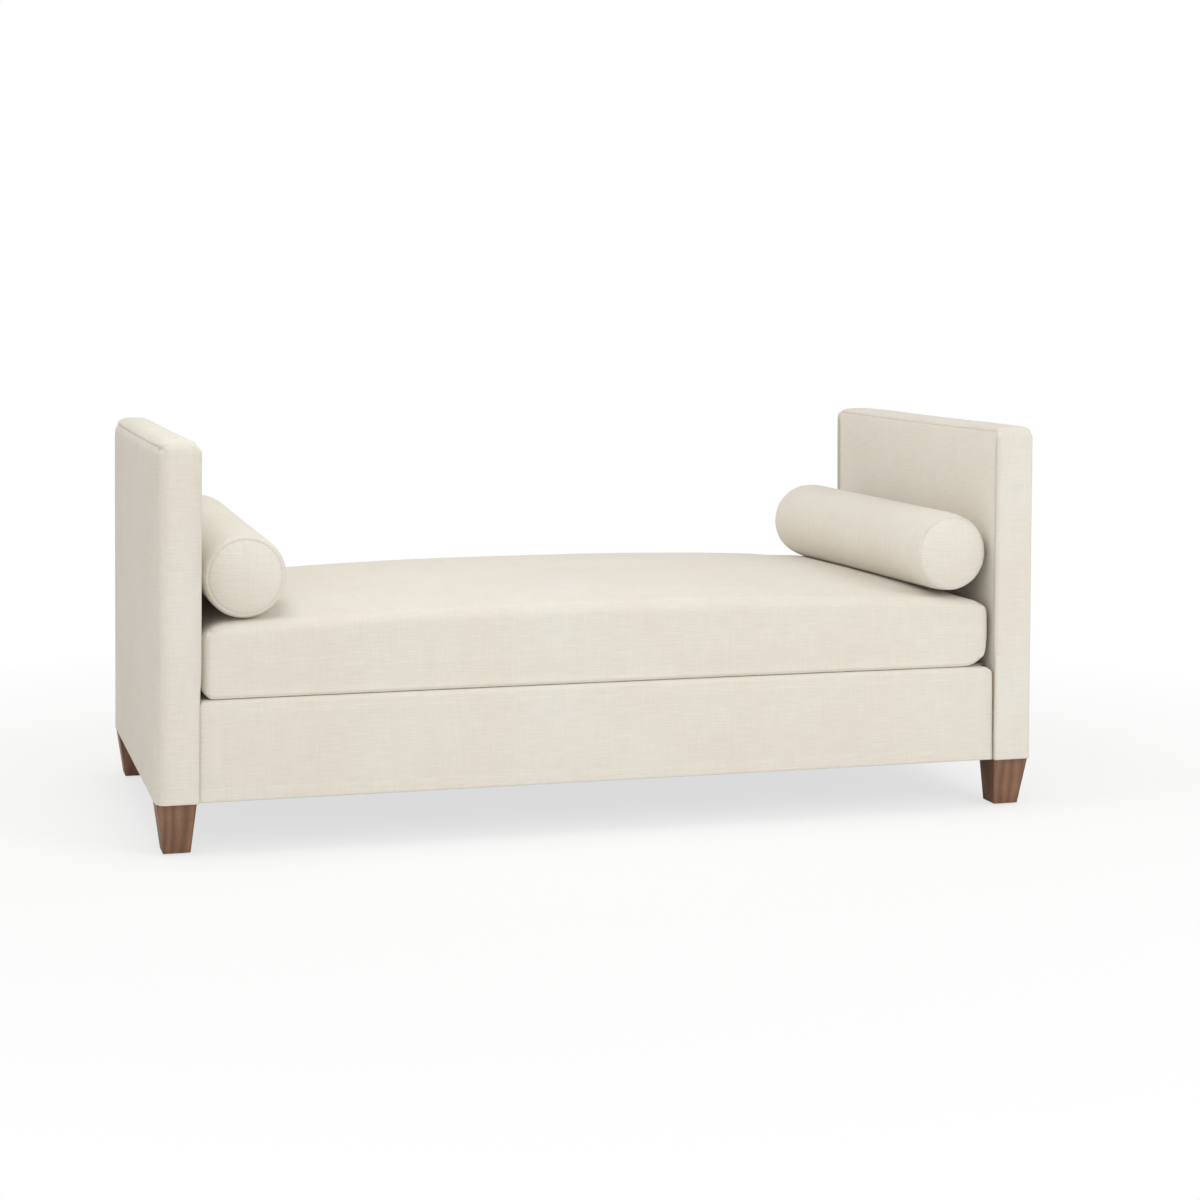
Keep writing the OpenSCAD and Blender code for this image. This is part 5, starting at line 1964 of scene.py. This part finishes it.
@dataclass(frozen=True)
class Lamp:
    """A square softbox: its place, the point it faces, its size, its power in watts and its colour."""

    name: str
    at: tuple[float, float, float]
    aim: tuple[float, float, float]
    size: float
    power: float
    hue: tuple[float, float, float]

    def hang(self) -> None:
        """Adds the lamp to the scene."""
        lamp = bpy.data.lights.new(self.name, "AREA")
        lamp.energy = self.power
        lamp.color = self.hue
        lamp.size = self.size
        softbox = bpy.data.objects.new(self.name, lamp)
        softbox.location = self.at
        softbox.rotation_euler = (Vector(self.at) - Vector(self.aim)).to_track_quat("Z", "Y").to_euler()
        bpy.context.scene.collection.objects.link(softbox)


@dataclass
class Studio:
    """A pale floor, soft light all round, large lamps from the right front, the left front and over the
    seat, and the camera."""

    camera_at: tuple[float, float, float] = (-1.4115, -5.2581, 1.1122)
    camera_yaw: float = 0.2789
    camera_roll: float = 0.00234
    focal_px: float = 2493.4
    frame_px: float = 1200.0
    axis_row_px: float = 278.6
    sensor: float = 36.0
    floor_size: float = 60.0
    floor_near: float = 1.1
    floor_far: float = 2.4
    floor_glow: float = 0.7
    floor_tint: tuple[float, float, float, float] = (0.9, 0.9, 0.9, 1.0)
    white: tuple[float, float, float, float] = (1.0, 1.0, 1.0, 1.0)
    world_light: float = 0.7
    world_tint: tuple[float, float, float, float] = (1.0, 0.978, 0.948, 1.0)
    lamps: tuple[Lamp, ...] = (
        Lamp("key", (3.2, -4.6, 3.2), (0, 0, 0.45), 2.6, 95, (0.93, 0.985, 1)),
        Lamp("side_fill", (-3.4, -5.2, 2.4), (0, 0, 0.5), 3, 32, (1, 0.99, 0.98)),
        Lamp("seat_fill", (-0.75, -0.35, 2.3), (0.83, 0, 0.5), 1.2, 13.5, (0.96, 1, 1)),
    )

    def build(self) -> None:
        """Builds the floor, the world, the lamps and the camera."""
        self._floor()
        self._world()
        for lamp in self.lamps:
            lamp.hang()
        self._camera()
        bpy.context.scene.view_settings.view_transform = "Standard"

    def _floor(self) -> None:
        """Lays a large floor that keeps the shadow near the divan, turns white further away and doesn't hide
        the underside from a camera below it."""
        clear_selection()
        bpy.ops.mesh.primitive_plane_add(size=self.floor_size)
        floor = named("studio_floor")
        material = bpy.data.materials.new("pale_floor")
        material.use_nodes = True
        wiring = Wiring(material.node_tree)
        place = wiring.add("ShaderNodeTexCoord").outputs["Object"]
        away = wiring.add("ShaderNodeVectorMath", {0: place}, operation="LENGTH").outputs["Value"]
        far = wiring.fit(away, self.floor_near, self.floor_far, self.floor_glow, 1.0)
        seen = wiring.add("ShaderNodeLightPath").outputs["Is Camera Ray"]
        matt = wiring.add("ShaderNodeBsdfDiffuse", {"Color": self.floor_tint})
        white = wiring.add("ShaderNodeEmission", {"Color": self.white, "Strength": 1.0})
        share = wiring.math("MULTIPLY", far, seen)
        lit = wiring.add("ShaderNodeMixShader", {0: share, 1: matt.outputs[0], 2: white.outputs[0]})
        below = wiring.math("MULTIPLY", wiring.add("ShaderNodeNewGeometry").outputs["Backfacing"], seen)
        clear = wiring.add("ShaderNodeBsdfTransparent")
        mixed = wiring.add("ShaderNodeMixShader", {0: below, 1: lit.outputs[0], 2: clear.outputs[0]})
        output = wiring.add("ShaderNodeOutputMaterial")
        wiring.join(mixed.outputs[0], output.inputs["Surface"])
        floor.data.materials.append(material)

    def _world(self) -> None:
        """Lights the divan evenly from all round, in front of a white background."""
        world = bpy.data.worlds.new("studio")
        bpy.context.scene.world = world
        world.use_nodes = True
        wiring = Wiring(world.node_tree)
        light = wiring.add("ShaderNodeBackground", {"Color": self.world_tint, "Strength": self.world_light})
        white = wiring.add("ShaderNodeBackground", {"Color": self.white, "Strength": 1.0})
        seen = wiring.add("ShaderNodeLightPath").outputs["Is Camera Ray"]
        mixed = wiring.add("ShaderNodeMixShader", {0: seen, 1: light.outputs[0], 2: white.outputs[0]})
        output = wiring.add("ShaderNodeOutputWorld")
        wiring.join(mixed.outputs[0], output.inputs["Surface"])

    def _camera(self) -> None:
        """Sets the camera where the photograph was taken from."""
        lens = bpy.data.cameras.new("camera")
        lens.sensor_width = self.sensor
        lens.lens = self.focal_px / self.frame_px * self.sensor
        lens.shift_y = (self.axis_row_px - self.frame_px / 2) / self.frame_px
        camera = bpy.data.objects.new("camera", lens)
        aim = Euler((math.pi / 2, 0, -self.camera_yaw)).to_matrix().to_4x4()
        roll = Matrix.Rotation(self.camera_roll, 4, "Z")
        camera.matrix_world = Matrix.Translation(self.camera_at) @ aim @ roll
        bpy.context.scene.collection.objects.link(camera)
        bpy.context.scene.camera = camera


def main() -> None:
    """Loads the part, dresses it and sets it in the studio."""
    logging.basicConfig(level=logging.INFO, format="%(name)s: %(message)s")
    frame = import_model()
    Studio().build()
    shop = Shop()
    Hardware().dress(frame["nodes"], shop)
    Arm(Side.LEFT).build(shop)
    Arm(
        Side.RIGHT, lean=6.5 * MM, inner_lean=8 * MM, edge_radius=19 * MM, fold_radius=21 * MM, outer_corner=14 * MM
    ).build(shop)
    for end in End:
        SeatRail(end).build(shop)
    bolsters = [
        Bolster(Side.LEFT, length=776 * MM, turn=0.3, tilt=1.1, shift=(4.5 * MM, 18 * MM, -1 * MM)),
        Bolster(Side.RIGHT, turn=2.8, seam_inset=5 * MM, rear_fullness=6 * MM, taper=3.5 * MM),
    ]
    Cushion().build(shop, bolsters)
    for bolster in bolsters:
        bolster.build(shop)
    for side in Side:
        for end in End:
            Leg(side, end).build(shop)
    Deck().build(shop)
    DustCover().build(shop)


if __name__ == "__main__":
    main()
